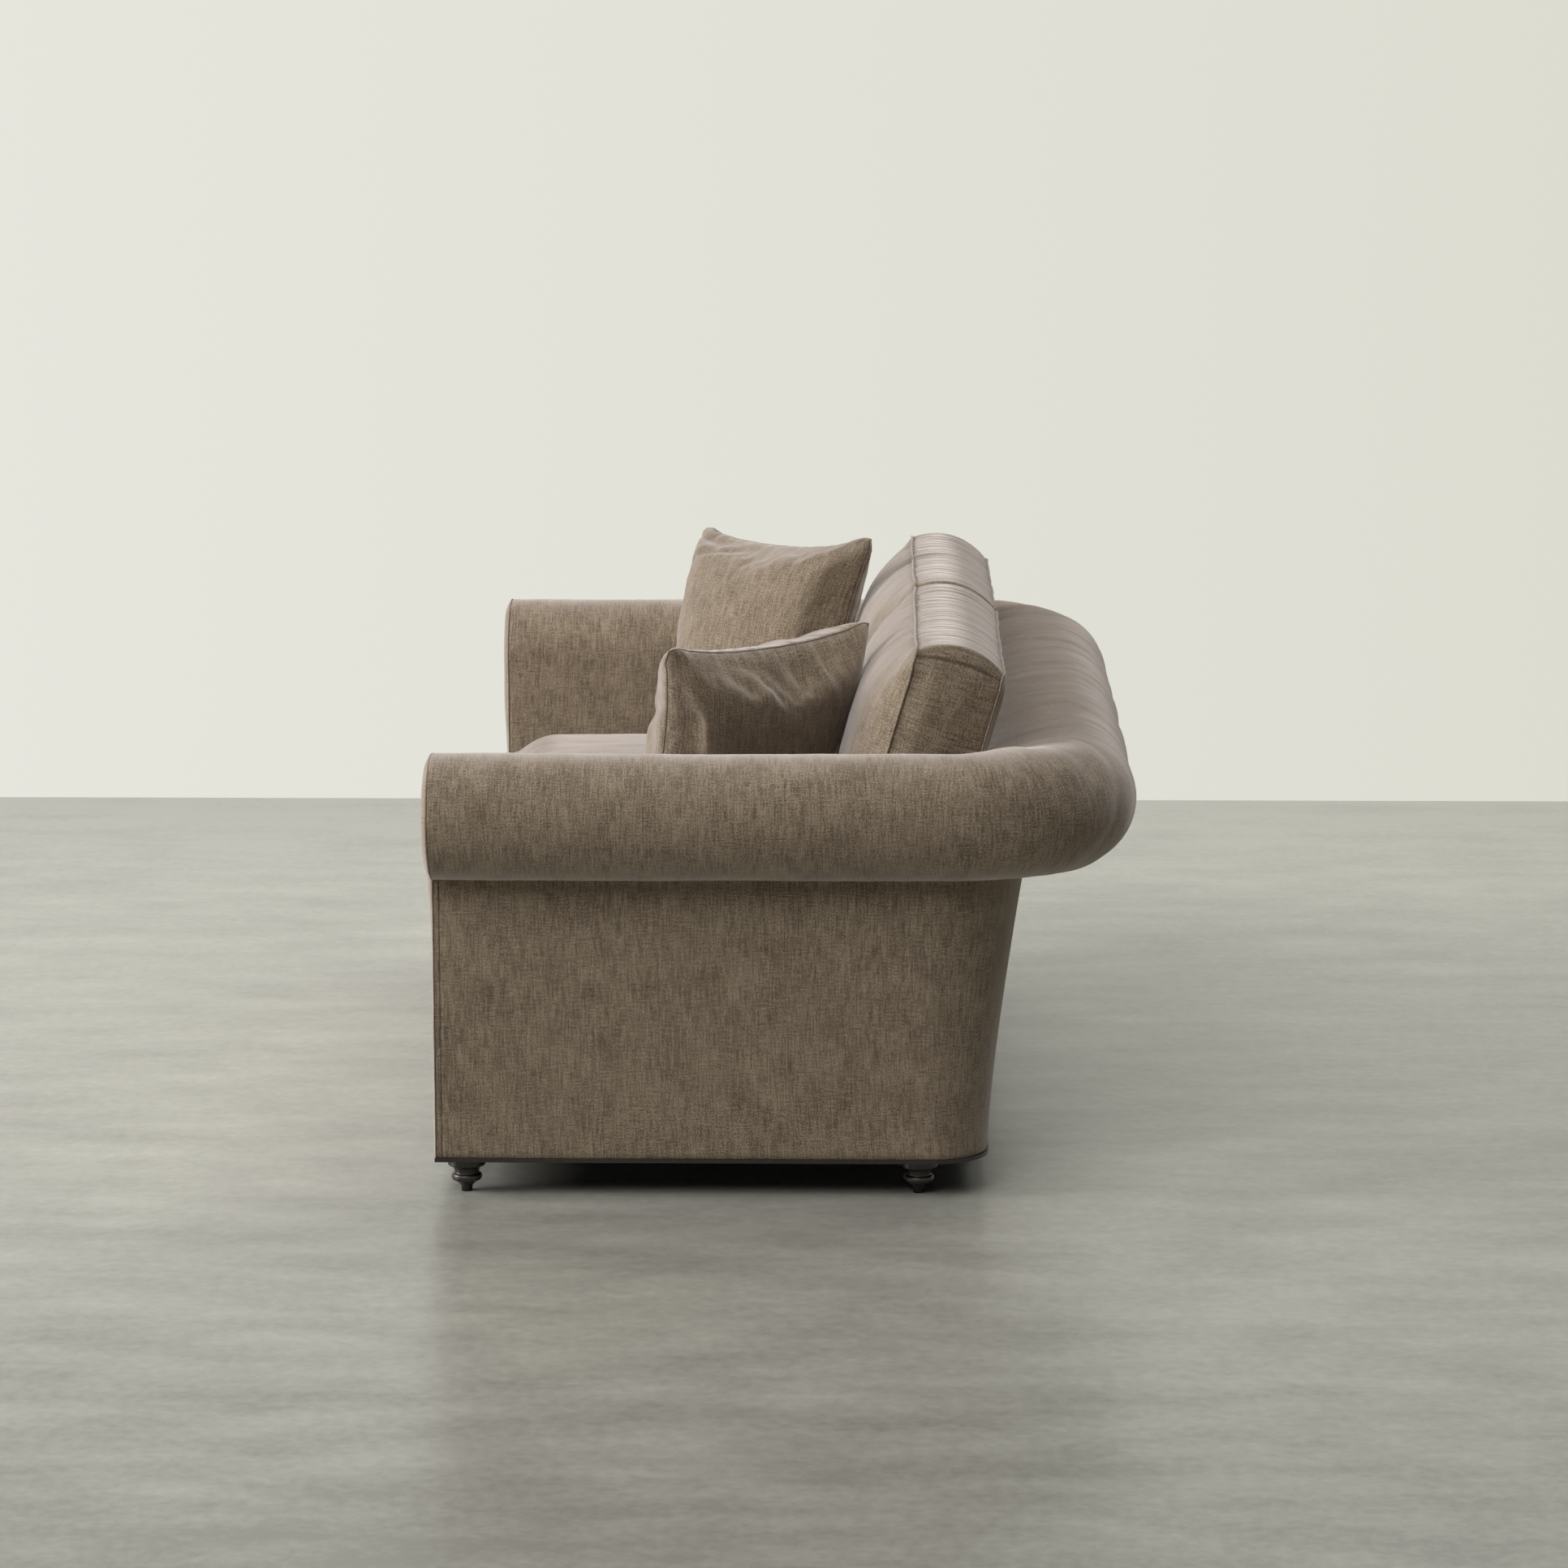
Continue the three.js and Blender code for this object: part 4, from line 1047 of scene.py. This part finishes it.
def rim_order(rest, half, level):
    """The points on one seam of a cushion, in order round it."""
    on_level = np.abs(rest[:, 2] - level * half[2]) < TINY
    on_edge = np.max(np.abs(rest[:, :2]) / half[:2], axis=1) > 1 - TINY
    chosen = np.nonzero(on_level & on_edge)[0]
    angle = np.arctan2(rest[chosen, 1] / half[1], rest[chosen, 0] / half[0])
    return chosen[np.argsort(angle)]


def smooth_loop(loop, rounds):
    for _ in range(rounds):
        loop = (np.roll(loop, 1, axis=0) + 2 * loop + np.roll(loop, -1, axis=0)) / 4
    return loop


def tube(name, loop, radius):
    """A closed piping cord along a loop of points."""
    ahead = np.roll(loop, -1, axis=0) - np.roll(loop, 1, axis=0)
    ahead /= np.linalg.norm(ahead, axis=1, keepdims=True)
    out = loop - loop.mean(axis=0)
    out -= ahead * np.sum(out * ahead, axis=1, keepdims=True)
    out /= np.linalg.norm(out, axis=1, keepdims=True)
    side = np.cross(ahead, out)
    turn = np.linspace(0, FULL_TURN, Piping.around + 1)
    ring = out[:, None, :] * np.cos(turn)[None, :, None] + side[:, None, :] * np.sin(turn)[None, :, None]
    points = loop[:, None, :] + radius * ring
    points = np.concatenate([points, points[:1]])
    u_line = path_length(np.concatenate([loop, loop[:1]]))
    u, v = np.meshgrid(u_line, turn * radius, indexing="ij")
    return grid_object(name, points, u, v, np.full(u.shape, NO_SEAM))


def add_pipings(name, mesh, rest, half, body):
    """Cords along both seams of a boxed cushion."""
    points = raised(mesh, Piping.proud)
    for level, place in ((1, "front"), (-1, "rear")):
        loop = smooth_loop(points[rim_order(rest, half, level)], Piping.smoothing)
        dress(tube(f"{name}_piping_{place}", loop, Piping.radius), body, look="piping_linen")


# Boxed cushions


class Seat:
    """Sizes of a seat cushion and how it is blown up."""

    seed = 50
    cell = 13 * MM
    jitter = 0.25 * MM
    boxing = 125 * MM
    side_margin = 1 * MM
    rise = 3 * MM
    crown = 44 * MM
    crown_reach = 80 * MM
    under_crown = 3 * MM
    top_bulge = 2 * MM
    side_bulge = 2 * MM
    corner_radius = 30 * MM
    draw_in = 4 * MM
    front_margin = 4 * MM
    wrinkle = 0.8
    pressure = 2.5
    stiffness = 40
    frames = 14
    longest_move = 6 * MM


class Back:
    """Sizes of a back cushion and how it is blown up."""

    seed = 60
    cell = 11 * MM
    jitter = 0.25 * MM
    boxing = 136 * MM
    side_margin = 1 * MM
    top_drop = 14 * MM
    foot_rise = 2 * MM
    crown = 58 * MM
    crown_reach = 135 * MM
    under_crown = 9 * MM
    rear_shift = 7 * MM
    rear_free = 4 * MM
    top_bulge = 23 * MM
    side_bulge = 4 * MM
    corner_radius = 24 * MM
    draw_in = 2 * MM
    sag = {"left": (3.5 * MM, 0), "right": (3.5 * MM, 15 * MM)}
    wrinkle = 1.0
    pressure = 3.0
    stiffness = 35
    frames = 14
    longest_move = 7 * MM


# How much of a face's rise is a dome over its whole width
MIDDLE_SHARE = 0.15

# Where the faces, the top strip and the sides begin, as shares of the half size
FACE_SHARE = 0.98
STRIP_SHARE = 0.97
EDGE_SHARE = 0.9

# How deep the folds are down the ends, as a share of those on the top
END_FOLD_SHARE = 0.3
SEAM_VALLEY = 1.6 * MM
SEAM_VALLEY_WIDTH = 7 * MM
GATHER_FADE = 30 * MM
BOXING_FOLDS = {"u": 24 * MM, "v": 260 * MM, "height": 2.6 * MM, "seed": 50}
FACE_SLACK = {"u": 110 * MM, "v": 130 * MM, "height": 2.2 * MM, "seed": 54}
WELT_PLEATS = {"u": 22 * MM, "v": 90 * MM, "height": 2.4 * MM, "seed": 57}
WELT_PLEAT_REACH = 55 * MM


def dome(points, half, power):
    """A value over a panel that is 1 in its middle and falls to 0 at its rim."""
    across = np.maximum(1 - (np.abs(points[:, :2]) / half[:2]) ** power, 0)
    return across[:, 0] * across[:, 1]


def padded_top(points, half, reach):
    """A panel that rises from its rim within a reach and then little more towards its middle."""
    from_rim = np.clip((half[:2] - np.abs(points[:, :2])) / reach, 0, 1)
    risen = 1 - (1 - from_rim) ** 2
    return lerp(risen[:, 0] * risen[:, 1], dome(points, half, 2), MIDDLE_SHARE)


def round_corners(points, half, radius):
    """Moves the corner squares of a plan into quarter discs."""
    out = points.copy()
    reach = np.abs(points[:, :2]) - (half[:2] - radius)
    in_corner = np.all(reach > 0, axis=1)
    share = reach[in_corner]
    pull = share.max(axis=1, keepdims=True) / np.linalg.norm(share, axis=1, keepdims=True)
    out[in_corner, :2] = np.sign(points[in_corner, :2]) * (half[:2] - radius + share * pull)
    return out


def boxed_shape(points, half, kind):
    """A boxed cushion before it is blown up: drawn-in sides, crowned faces and arched boxing."""
    shaped = round_corners(points, half, kind.corner_radius)
    share = np.abs(points) / half
    on_face = smooth(FACE_SHARE, 1, share[:, 2])
    crown = np.where(points[:, 2] > 0, kind.crown, -kind.under_crown)
    shaped[:, 2] += crown * on_face * padded_top(points, half, kind.crown_reach)
    arch = 1 - share[:, 2] ** 2
    for axis, bulge in ((0, kind.side_bulge), (1, kind.top_bulge)):
        edge = smooth(EDGE_SHARE, 1, share[:, axis])
        pull = kind.draw_in * (1 - share[:, 1 - axis] ** 2)
        shaped[:, axis] += np.sign(points[:, axis]) * edge * (bulge * arch - pull)
    return shaped


def boxed_relief(rest, half, kind, seed):
    """Folds across the boxing, slack on the faces and pleats running in from the seams."""
    perimeter = rest[:, 0] + rest[:, 1]
    seam_gap = half[2] - np.abs(rest[:, 2])
    on_top = smooth(EDGE_SHARE, 1, np.abs(rest[:, 1]) / half[1])
    across = folds(perimeter, rest[:, 2], BOXING_FOLDS, seed) * (1 + np.exp(-seam_gap / GATHER_FADE)) / 2
    across *= lerp(END_FOLD_SHARE, 1, on_top)
    slack = folds(rest[:, 0], rest[:, 1], FACE_SLACK, seed)
    from_top = half[1] - rest[:, 1]
    pleats = folds(rest[:, 0], rest[:, 1], WELT_PLEATS, seed) * np.exp(-from_top / WELT_PLEAT_REACH)
    pleats *= smooth(0, SEAM_VALLEY_WIDTH, from_top)
    return kind.wrinkle * lerp(slack + pleats, across, smooth(0, SEAM_VALLEY_WIDTH, seam_gap))


def boxed_seams(rest, half, end_seam):
    """Distance from the two long seams, and on the ends from the line where the top strip stops."""
    inside = half[2] - np.abs(rest[:, 2])
    rim = np.min(half[:2] - np.abs(rest[:, :2]), axis=1)
    distance = np.where(inside < TINY, rim, inside)
    on_end = half[0] - np.abs(rest[:, 0]) < TINY
    from_end_seam = np.where(on_end, np.abs(rest[:, 1] - end_seam), NO_SEAM)
    return np.minimum(distance, from_end_seam), from_end_seam


def build_boxed(name, size, kind, placement, seed, adjust, top_strip):
    """A boxed cushion, in place. adjust keeps its points where they may be."""
    piece, points, half, cell = lattice_cushion(name, size, kind.cell, knife=False)
    rest = blown_up(piece, boxed_shape(points, half, kind), kind, seed)
    mesh = piece.data
    end_seam = half[1] - cell[1] if top_strip else math.inf
    seam, from_end_seam = boxed_seams(rest, half, end_seam)
    height = boxed_relief(rest, half, kind, seed) - SEAM_VALLEY * bell(from_end_seam, 0, SEAM_VALLEY_WIDTH)
    put_points(mesh, adjust(placed(raised(mesh, height[:, None]), placement), rest, half))
    set_attribute(mesh, "seam", seam)
    gathered = smooth(STRIP_SHARE, 1, rest[:, 1] / half[1]) * (half[2] - np.abs(rest[:, 2]) > TINY)
    set_attribute(mesh, "pleat", gathered * top_strip)
    return piece, rest, half


def finish_cushion(piece, rest, half, prefix, side, fill):
    """What every boxed cushion gets once it is in place."""
    body = f"{prefix}_{side}"
    add_pipings(body, piece.data, rest, half, body)
    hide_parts(f"{prefix}_cover_{side}", f"{prefix}_core_{side}")
    return dress(piece, body)


def keep_to_side(points, sign):
    """Keeps a cushion's points between the sofa's middle and the arm on its side."""
    inner, outer = sorted((CLEARANCE * sign, (INNER_X - CLEARANCE) * sign))
    points[:, 0] = np.clip(points[:, 0], inner, outer)


def build_seat(side, sign):
    """A seat cushion between the deck, the middle and the arm."""
    size = (*(seat_high[:2] - seat_low[:2] - 2 * Seat.side_margin), Seat.boxing)
    centre = (seat_low + seat_high) / 2 * np.array([sign, 1, 1])
    centre[2] = DECK_Z + Seat.boxing / 2 + Seat.rise

    def adjust(points, _rest, _half):
        keep_to_side(points, sign)
        points[:, 1] = np.clip(points[:, 1], FRONT_Y - Seat.front_margin, INSIDE_Y - CLEARANCE)
        points[:, 2] = np.maximum(points[:, 2], DECK_Z + CLEARANCE)
        return points

    placement = Matrix.Translation(centre)
    seed = Seat.seed + sign
    made = build_boxed(f"seat_cushion_{side}", size, Seat, placement, seed, adjust, top_strip=False)
    return finish_cushion(*made, "seat_cushion", side, fill=0.8)


def build_back(side, sign, seat):
    """A back cushion in the frame of its raked cover, with its foot pressed flat on the seat cushion."""
    cover = vectors(frame["nodes"][f"back_cushion_cover_{side}"].data.vertices, "co")
    up = np.array([0, math.sin(RAKE), math.cos(RAKE)])
    rearward = np.array([0, math.cos(RAKE), -math.sin(RAKE)])
    heights, depths = cover @ up, cover @ rearward
    top, foot = heights.max() - Back.top_drop, heights.min() + Back.foot_rise
    size = (np.ptp(cover[:, 0]) - 2 * Back.side_margin, top - foot, Back.boxing)
    rear_welt = depths.max() - Back.under_crown + Back.rear_shift
    centre = up * (top + foot) / 2 + rearward * (rear_welt - Back.boxing / 2)
    centre[0] = (cover[:, 0].max() + cover[:, 0].min()) / 2
    turned = Matrix.Translation(centre) @ Matrix.Rotation(QUARTER_TURN - RAKE, 4, "X")
    seat_tree = tree_of(seat)

    def adjust(points, rest, half):
        # Each cushion has sunk a little, by its own amount at either end
        share = np.clip(sign * rest[:, 0] / half[0] / 2 + 0.5, 0, 1)
        inner_sag, outer_sag = Back.sag[side]
        sag = lerp(inner_sag, outer_sag, share) * smooth(-1, 1, rest[:, 1] / half[1])
        points = points - up * sag[:, None]
        too_far = np.maximum(points @ rearward - (depths.max() + Back.rear_free), 0)
        points = points - rearward * too_far[:, None]
        keep_to_side(points, sign)
        return rest_against(points, [seat_tree], CLEARANCE, Back.boxing / 2)

    seed = Back.seed + sign
    made = build_boxed(f"back_cushion_{side}", size, Back, turned, seed, adjust, top_strip=True)
    return finish_cushion(*made, "back_cushion", side, fill=0.7)


# Corner pillows


class Pillow:
    """Sizes of a corner pillow, how it stands and how it is blown up."""

    seed = 70
    width = {"left": 468 * MM, "right": 455 * MM}
    height = 432 * MM
    rise = {"left": -14 * MM, "right": 10 * MM}
    shift = {"left": 0, "right": 12 * MM}
    cell = 9 * MM
    thickness = 6 * MM
    crown = 76 * MM
    rear_crown_share = 0.8
    dome_power = 2.4
    fullness_power = 0.6
    corner_radius = 32 * MM
    draw_in = 20 * MM
    roll = {"left": 0, "right": math.radians(2)}
    flop = {"left": 15 * MM, "right": 0}
    flop_across_shares = (-1, 1.2)
    flop_down_shares = (0.95, -0.4)
    jitter = 0.4 * MM
    yaw = math.radians(46)
    lean = math.radians(20)
    pressure = 4.0
    stiffness = 30
    frames = 20
    longest_move = 22 * MM
    pucker_fade = 28 * MM
    rim_width = 6 * MM
    slack_from = 80 * MM
    gap = 1.5 * MM
    reach = 90 * MM


# The puckers along each side of a pillow start at a place of their own
SIDE_SHIFT = 1.0
TOP_SHIFT = 3.0
PILLOW_PUCKER = {"u": 17 * MM, "v": 80 * MM, "height": 2.0 * MM, "seed": 70}
PILLOW_SLACK = {"u": 120 * MM, "v": 95 * MM, "height": 2.2 * MM, "seed": 72}
CREASE_ENDS = 45 * MM
FAINT = 2 * MM
CLEAR = 3.2 * MM
NARROW = 15 * MM
WIDE = 24 * MM

# Fold lines: the face, the two ends as shares of the half size, the width and the depth
PILLOW_CREASES = {
    "left": [
        (-1, (0.50, 0.95), (0.20, 0.90), NARROW, CLEAR),
        (-1, (0.24, 0.86), (0.02, 0.62), NARROW, CLEAR),
        (-1, (-0.08, 0.90), (-0.20, 0.72), NARROW, CLEAR),
        (-1, (-0.40, 0.94), (-0.50, 0.64), NARROW, CLEAR),
        (-1, (-0.10, 0.30), (-0.30, 0.02), WIDE, FAINT),
        (1, (0.98, 0.42), (0.62, 0.16), WIDE, CLEAR),
        (1, (-0.85, 0.85), (-0.20, 0.50), WIDE, CLEAR),
    ],
    "right": [
        (1, (-0.72, 0.62), (-0.22, 0.84), NARROW, CLEAR),
        (1, (-0.93, 0.86), (-0.55, 0.88), NARROW, CLEAR),
        (1, (-0.90, 0.80), (-0.62, 0.52), WIDE, FAINT),
        (1, (0.92, 0.90), (0.62, 0.60), WIDE, FAINT),
    ],
}


def crease(rest, start, end, width, depth):
    """A fold line between two places on a pillow's face: a ditch with a ridge beside it."""
    line = end - start
    length = np.linalg.norm(line)
    line = line / length
    away = rest[:, :2] - start
    along = away @ line
    beside = away @ np.array([-line[1], line[0]])
    run = smooth(-CREASE_ENDS, CREASE_ENDS, along) * smooth(length + CREASE_ENDS, length - CREASE_ENDS, along)
    return run * depth * (bell(beside, width, width) - bell(beside, 0, width / 2))


def pillow_start(points, half):
    """The pillow before it is blown up: crowned faces, sides drawn in between the corners."""
    start = round_corners(points, half, Pillow.corner_radius)
    share = points[:, :2] / half[:2]
    for axis in (0, 1):
        start[:, axis] -= Pillow.draw_in * share[:, axis] * (1 - share[:, 1 - axis] ** 2)
    fullness = np.where(points[:, 2] < 0, Pillow.rear_crown_share, 1)
    crown = Pillow.crown * fullness * dome(points, half, Pillow.dome_power) ** Pillow.fullness_power
    start[:, 2] += np.sign(points[:, 2]) * crown
    return start


def pillow_relief(rest, half, rim, creases, seed):
    """Puckers along the seam, slack over the faces and the fold lines."""
    on_side = np.abs(rest[:, 0]) > np.abs(rest[:, 1])
    beside = rest[:, 1] + SIDE_SHIFT * np.sign(rest[:, 0])
    over = rest[:, 0] + TOP_SHIFT * np.sign(rest[:, 1])
    perimeter = np.where(on_side, beside, over)
    face = np.sign(rest[:, 2] + TINY / 2)
    fade = np.exp(-rim / Pillow.pucker_fade) * smooth(0, Pillow.rim_width, rim)
    amount = folds(perimeter, rim, PILLOW_PUCKER, seed) * fade
    amount += folds(rest[:, 0], rest[:, 1], PILLOW_SLACK, seed) * smooth(0, Pillow.slack_from, rim)
    for on_face, start, end, width, depth in creases:
        fold = crease(rest, np.array(start) * half[:2], np.array(end) * half[:2], width, depth)
        amount += (face == on_face) * fold * smooth(0, Pillow.rim_width, rim)
    return amount


def pillow_flop(side, rest, half):
    """How a pillow's lower corner hangs aside, as moves along its width and its thickness."""
    share = rest[:, :2] / half[:2]
    flop = Pillow.flop[side] * smooth(*Pillow.flop_across_shares, share[:, 0])
    flop *= smooth(*Pillow.flop_down_shares, share[:, 1])
    flop *= 1 - dome(rest, half, 2) * (rest[:, 2] > TINY)
    return joined(flop, 0, flop)


def pillow_placement(side, sign):
    """Turned to face in from its corner, leant back and rolled a little."""
    low, high = corners(f"pillow_cover_{side}")
    facing_in = Matrix.Rotation(-sign * Pillow.yaw, 4, "Z")
    along = np.array(facing_in.to_3x3())[:, 0]
    centre = (low + high) / 2 + Pillow.shift[side] * along + np.array([0, 0, Pillow.rise[side]])
    leaning = Matrix.Rotation(QUARTER_TURN - Pillow.lean, 4, "X")
    rolled = Matrix.Rotation(Pillow.roll[side], 4, "Z")
    return Matrix.Translation(centre) @ facing_in @ leaning @ rolled


def build_pillow(side, sign, neighbours):
    """A corner pillow, pressed flat where it rests on its neighbours."""
    body = f"pillow_{side}"
    seed = Pillow.seed + sign
    size = (Pillow.width[side], Pillow.height, Pillow.thickness)
    piece, points, half, _ = lattice_cushion(body, size, Pillow.cell, knife=True)
    rest = blown_up(piece, pillow_start(points, half), Pillow, seed)
    mesh = piece.data
    rim = np.min(half[:2] - np.abs(rest[:, :2]), axis=1)
    amount = pillow_relief(rest, half, rim, PILLOW_CREASES[side], seed)
    moved = raised(mesh, amount[:, None]) - pillow_flop(side, rest, half)
    moved = placed(moved, pillow_placement(side, sign))
    put_points(mesh, rest_against(moved, neighbours, Pillow.gap, Pillow.reach))
    set_attribute(mesh, "seam", rim)
    rim_points = vectors(mesh.vertices, "co")[rim_order(rest, half, 0)]
    seam = smooth_loop(rim_points, Piping.knife_smoothing)
    dress(tube(f"{body}_seam", seam, Piping.knife_radius), body, look="piping_linen")
    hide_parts(f"pillow_cover_{side}", f"pillow_insert_{side}")
    return dress(piece, body)


# Turned feet


class Foot:
    """Sizes of the turned outline, from the toe up."""

    toe_radius = 8.5 * MM
    toe_height = 8 * MM
    neck_radius = 18.5 * MM
    ring_radius = 23 * MM
    ring_height = 11.4 * MM
    cove_height = 11.8 * MM
    flange_thickness = 14 * MM
    taper_hollow_share = 0.2
    cove_hollow_share = 0.9
    edge = 2.5 * MM
    arc_steps = 14
    turn_steps = 72


def foot_profile(flange_radius, height):
    """Radius and height of the turned outline, from the flat toe up to the flange."""
    cove_top = height - Foot.flange_thickness
    neck_z = cove_top - Foot.cove_height
    ring_foot = neck_z - Foot.ring_height
    profile = [(0, 0), (Foot.toe_radius, 0)]

    def hollow(from_radius, to_radius, from_z, to_z, depth):
        for share in np.linspace(0, 1, Foot.arc_steps)[1:-1]:
            sunk = depth * share * (1 - share)
            profile.append((lerp(from_radius, to_radius, share - sunk), lerp(from_z, to_z, share + sunk)))

    def rounding(radius, middle_z, out, rise, from_angle, to_angle):
        for angle in np.linspace(from_angle, to_angle, Foot.arc_steps):
            profile.append((radius + out * math.cos(angle), middle_z + rise * math.sin(angle)))

    ring_out = Foot.ring_radius - Foot.neck_radius
    edge_radius = flange_radius - Foot.edge
    profile.append((Foot.toe_radius, Foot.toe_height))
    hollow(Foot.toe_radius, Foot.neck_radius, Foot.toe_height, ring_foot, Foot.taper_hollow_share)
    ring_rise = Foot.ring_height / 2
    rounding(Foot.neck_radius, ring_foot + ring_rise, ring_out, ring_rise, -QUARTER_TURN, QUARTER_TURN)
    hollow(Foot.neck_radius, edge_radius, neck_z, cove_top, Foot.cove_hollow_share)
    rounding(edge_radius, cove_top + Foot.edge, Foot.edge, Foot.edge, -QUARTER_TURN, 0)
    profile.append((flange_radius, height))
    return np.array(profile)


def build_foot(end, side):
    """A turned foot in the place of the part's own, as wide and as high."""
    low, high = corners(f"foot_{end}_{side}")
    centre = (low + high) / 2
    profile = foot_profile(high[0] - centre[0], high[2])
    turn = np.linspace(0, FULL_TURN, Foot.turn_steps + 1)
    radius, height = profile[:, :1], profile[:, 1:]
    points = joined(centre[0] + radius * np.cos(turn), centre[1] + radius * np.sin(turn), height)
    u, v = np.meshgrid(profile[:, 1], turn * Foot.neck_radius, indexing="ij")
    piece = grid_object(f"turned_foot_{end}_{side}", points, u, v, np.full(u.shape, NO_SEAM))
    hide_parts(f"foot_{end}_{side}")
    return dress(piece, "frame", "dark_wood")


# Everything in its order
build_wrap()
build_outside()
build_border()
for side, sign in SIDES:
    build_facing(side, sign)
    seat = build_seat(side, sign)
    back = build_back(side, sign, seat)
    build_pillow(side, sign, [tree_of(seat), tree_of(back)])
    for end in ("front", "rear"):
        build_foot(end, side)

# The part's own nodes that show, or that can be seen from below or with the cushions off
NODE_LOOKS = {
    "seat_platform": "linen",
    "base_trim": "dark_wood",
    "dust_cover": "black_cloth",
    "seat_web": "webbing",
    "foot_bolt": "zinc_steel",
    "core": "filling",
    "insert": "filling",
}
for name, part in frame["nodes"].items():
    found = [look for key, look in NODE_LOOKS.items() if key in name]
    part.data.materials.clear()
    part.data.materials.append(MATERIALS[found[0] if found else "frame_wood"])


# Floor, backdrop, lamps and camera


class Floor:
    """The floor's extent, tones, painted shade towards the camera and unevenness."""

    far_edge = -2.56
    near_edge = 12.0
    half_width = 9.0
    tones = [(0, (0.205, 0.201, 0.176)), (1, (0.530, 0.523, 0.464))]
    # Painted shade: where the floor's tone reaches its darkest towards the camera, and over what run it falls
    painted_shade_darkest_x = 3.2
    fade = 5.8
    # Clouds, stains and pits: the size of their cells, their detail and their weight in the tone
    layers = [
        ([0.5, 0.9, 0.5], 6.0, 0.45),
        ([0.10, 0.26, 0.10], 8.0, 0.90),
        ([0.02, 0.02, 0.02], 4.0, 0.55),
    ]
    roughness = 0.3


WORLD_FILL = (0.01, 0.01, 0.01, 1)
BACKDROP_FRONT = (0.815, 0.805, 0.745, 1)
BACKDROP_REAR = (0.690, 0.690, 0.610, 1)
BACKDROP_TURN = 0.24
BACKDROP_MIDDLE_SHARE = 0.5

# Area lamps, all aimed at one place on the sofa
AIM = (0, 0.1, 0.5)
WHITE = (1.0, 1.0, 0.98)
WARM_WHITE = (1.0, 0.99, 0.98)
LAMPS = {
    "front": {"place": (0.9, -5.8, 2.5), "size": (3.0, 2.2), "power": 345, "colour": WARM_WHITE},
    "camera_side": {"place": (4.2, -1.9, 4.2), "size": (3.5, 3.0), "power": 152, "colour": WHITE},
    "ceiling": {"place": (-0.5, 0.6, 4.6), "size": (5.0, 5.0), "power": 44, "colour": WHITE},
    "top_rear": {"place": (-1.6, 2.0, 4.2), "size": (3.0, 3.0), "power": 92, "colour": WHITE},
}


class Camera:
    """Where the camera stands, its direction and its lens."""

    place = (8.46, 0.172, 1.983)
    ahead = (-0.9845, -0.0218, -0.1742)
    roll = 0.0012
    sensor = 36
    focal_pixels = 6465
    picture_pixels = 1932


def floor_look(tree):
    """Pale concrete with clouds, stains and pits, darkened towards the camera as painted shade."""
    place = tree.place()
    tone = tree.mixed([
        # Painted shade, darker towards the camera
        (tree.split(place)["X"], -1 / Floor.fade, Floor.painted_shade_darkest_x),
        *((tree.noise(place, cell, detail), weight, NOISE_MIDDLE) for cell, detail, weight in Floor.layers),
    ])
    return {"Base Color": tree.ramp(tone, Floor.tones), "Roughness": Floor.roughness}


def build_stage():
    near, far, side = Floor.near_edge, Floor.far_edge, Floor.half_width
    mesh = bpy.data.meshes.new("floor")
    mesh.from_pydata([(far, -side, 0), (near, -side, 0), (near, side, 0), (far, side, 0)], [], [(0, 1, 2, 3)])
    mesh.materials.append(surface("concrete", floor_look))
    linked("floor", mesh)


def add_lamp(name, place, size, power, colour):
    lamp = bpy.data.lights.new(name, "AREA")
    lamp.shape = "RECTANGLE"
    lamp.size, lamp.size_y = size
    lamp.energy = power
    lamp.color = colour
    holder = linked(name, lamp)
    holder.location = place
    holder.rotation_euler = (Vector(AIM) - Vector(place)).to_track_quat("-Z", "Y").to_euler()


def build_world():
    """A soft grey fill; the camera and the floor's gloss see the pale backdrop."""
    world = bpy.data.worlds.new("studio")
    bpy.context.scene.world = world
    world.use_nodes = True
    tree = Tree(world.node_tree)
    direction = tree.split(tree.place("Generated"))
    rearward = tree.maths("DIVIDE", direction["Y"], 2 * BACKDROP_TURN)
    rearward = tree.maths("ADD", rearward, BACKDROP_MIDDLE_SHARE)
    backdrop = tree.between(rearward, BACKDROP_FRONT, BACKDROP_REAR)
    path = tree.nodes.new("ShaderNodeLightPath")
    seen = tree.maths("ADD", path.outputs["Is Camera Ray"], path.outputs["Is Glossy Ray"])
    tree.link(tree.between(seen, WORLD_FILL, backdrop), tree.nodes["Background"].inputs["Color"])


def build_camera():
    """A long lens from beyond the sofa's end, a little above it."""
    camera = bpy.data.cameras.new("camera")
    camera.sensor_width = Camera.sensor
    camera.lens = Camera.sensor * Camera.focal_pixels / Camera.picture_pixels
    holder = linked("camera", camera)
    ahead = Vector(Camera.ahead).normalized()
    level = ahead.cross(Vector((0, 0, 1))).normalized()
    upright = level.cross(ahead)
    right = level * math.cos(Camera.roll) - upright * math.sin(Camera.roll)
    up = upright * math.cos(Camera.roll) + level * math.sin(Camera.roll)
    turned = Matrix((right, up, -ahead)).transposed().to_4x4()
    holder.matrix_world = Matrix.Translation(Camera.place) @ turned
    bpy.context.scene.camera = holder


build_stage()
build_world()
for lamp_name, lamp_values in LAMPS.items():
    add_lamp(lamp_name, **lamp_values)
build_camera()
bpy.context.scene.view_settings.view_transform = "Standard"
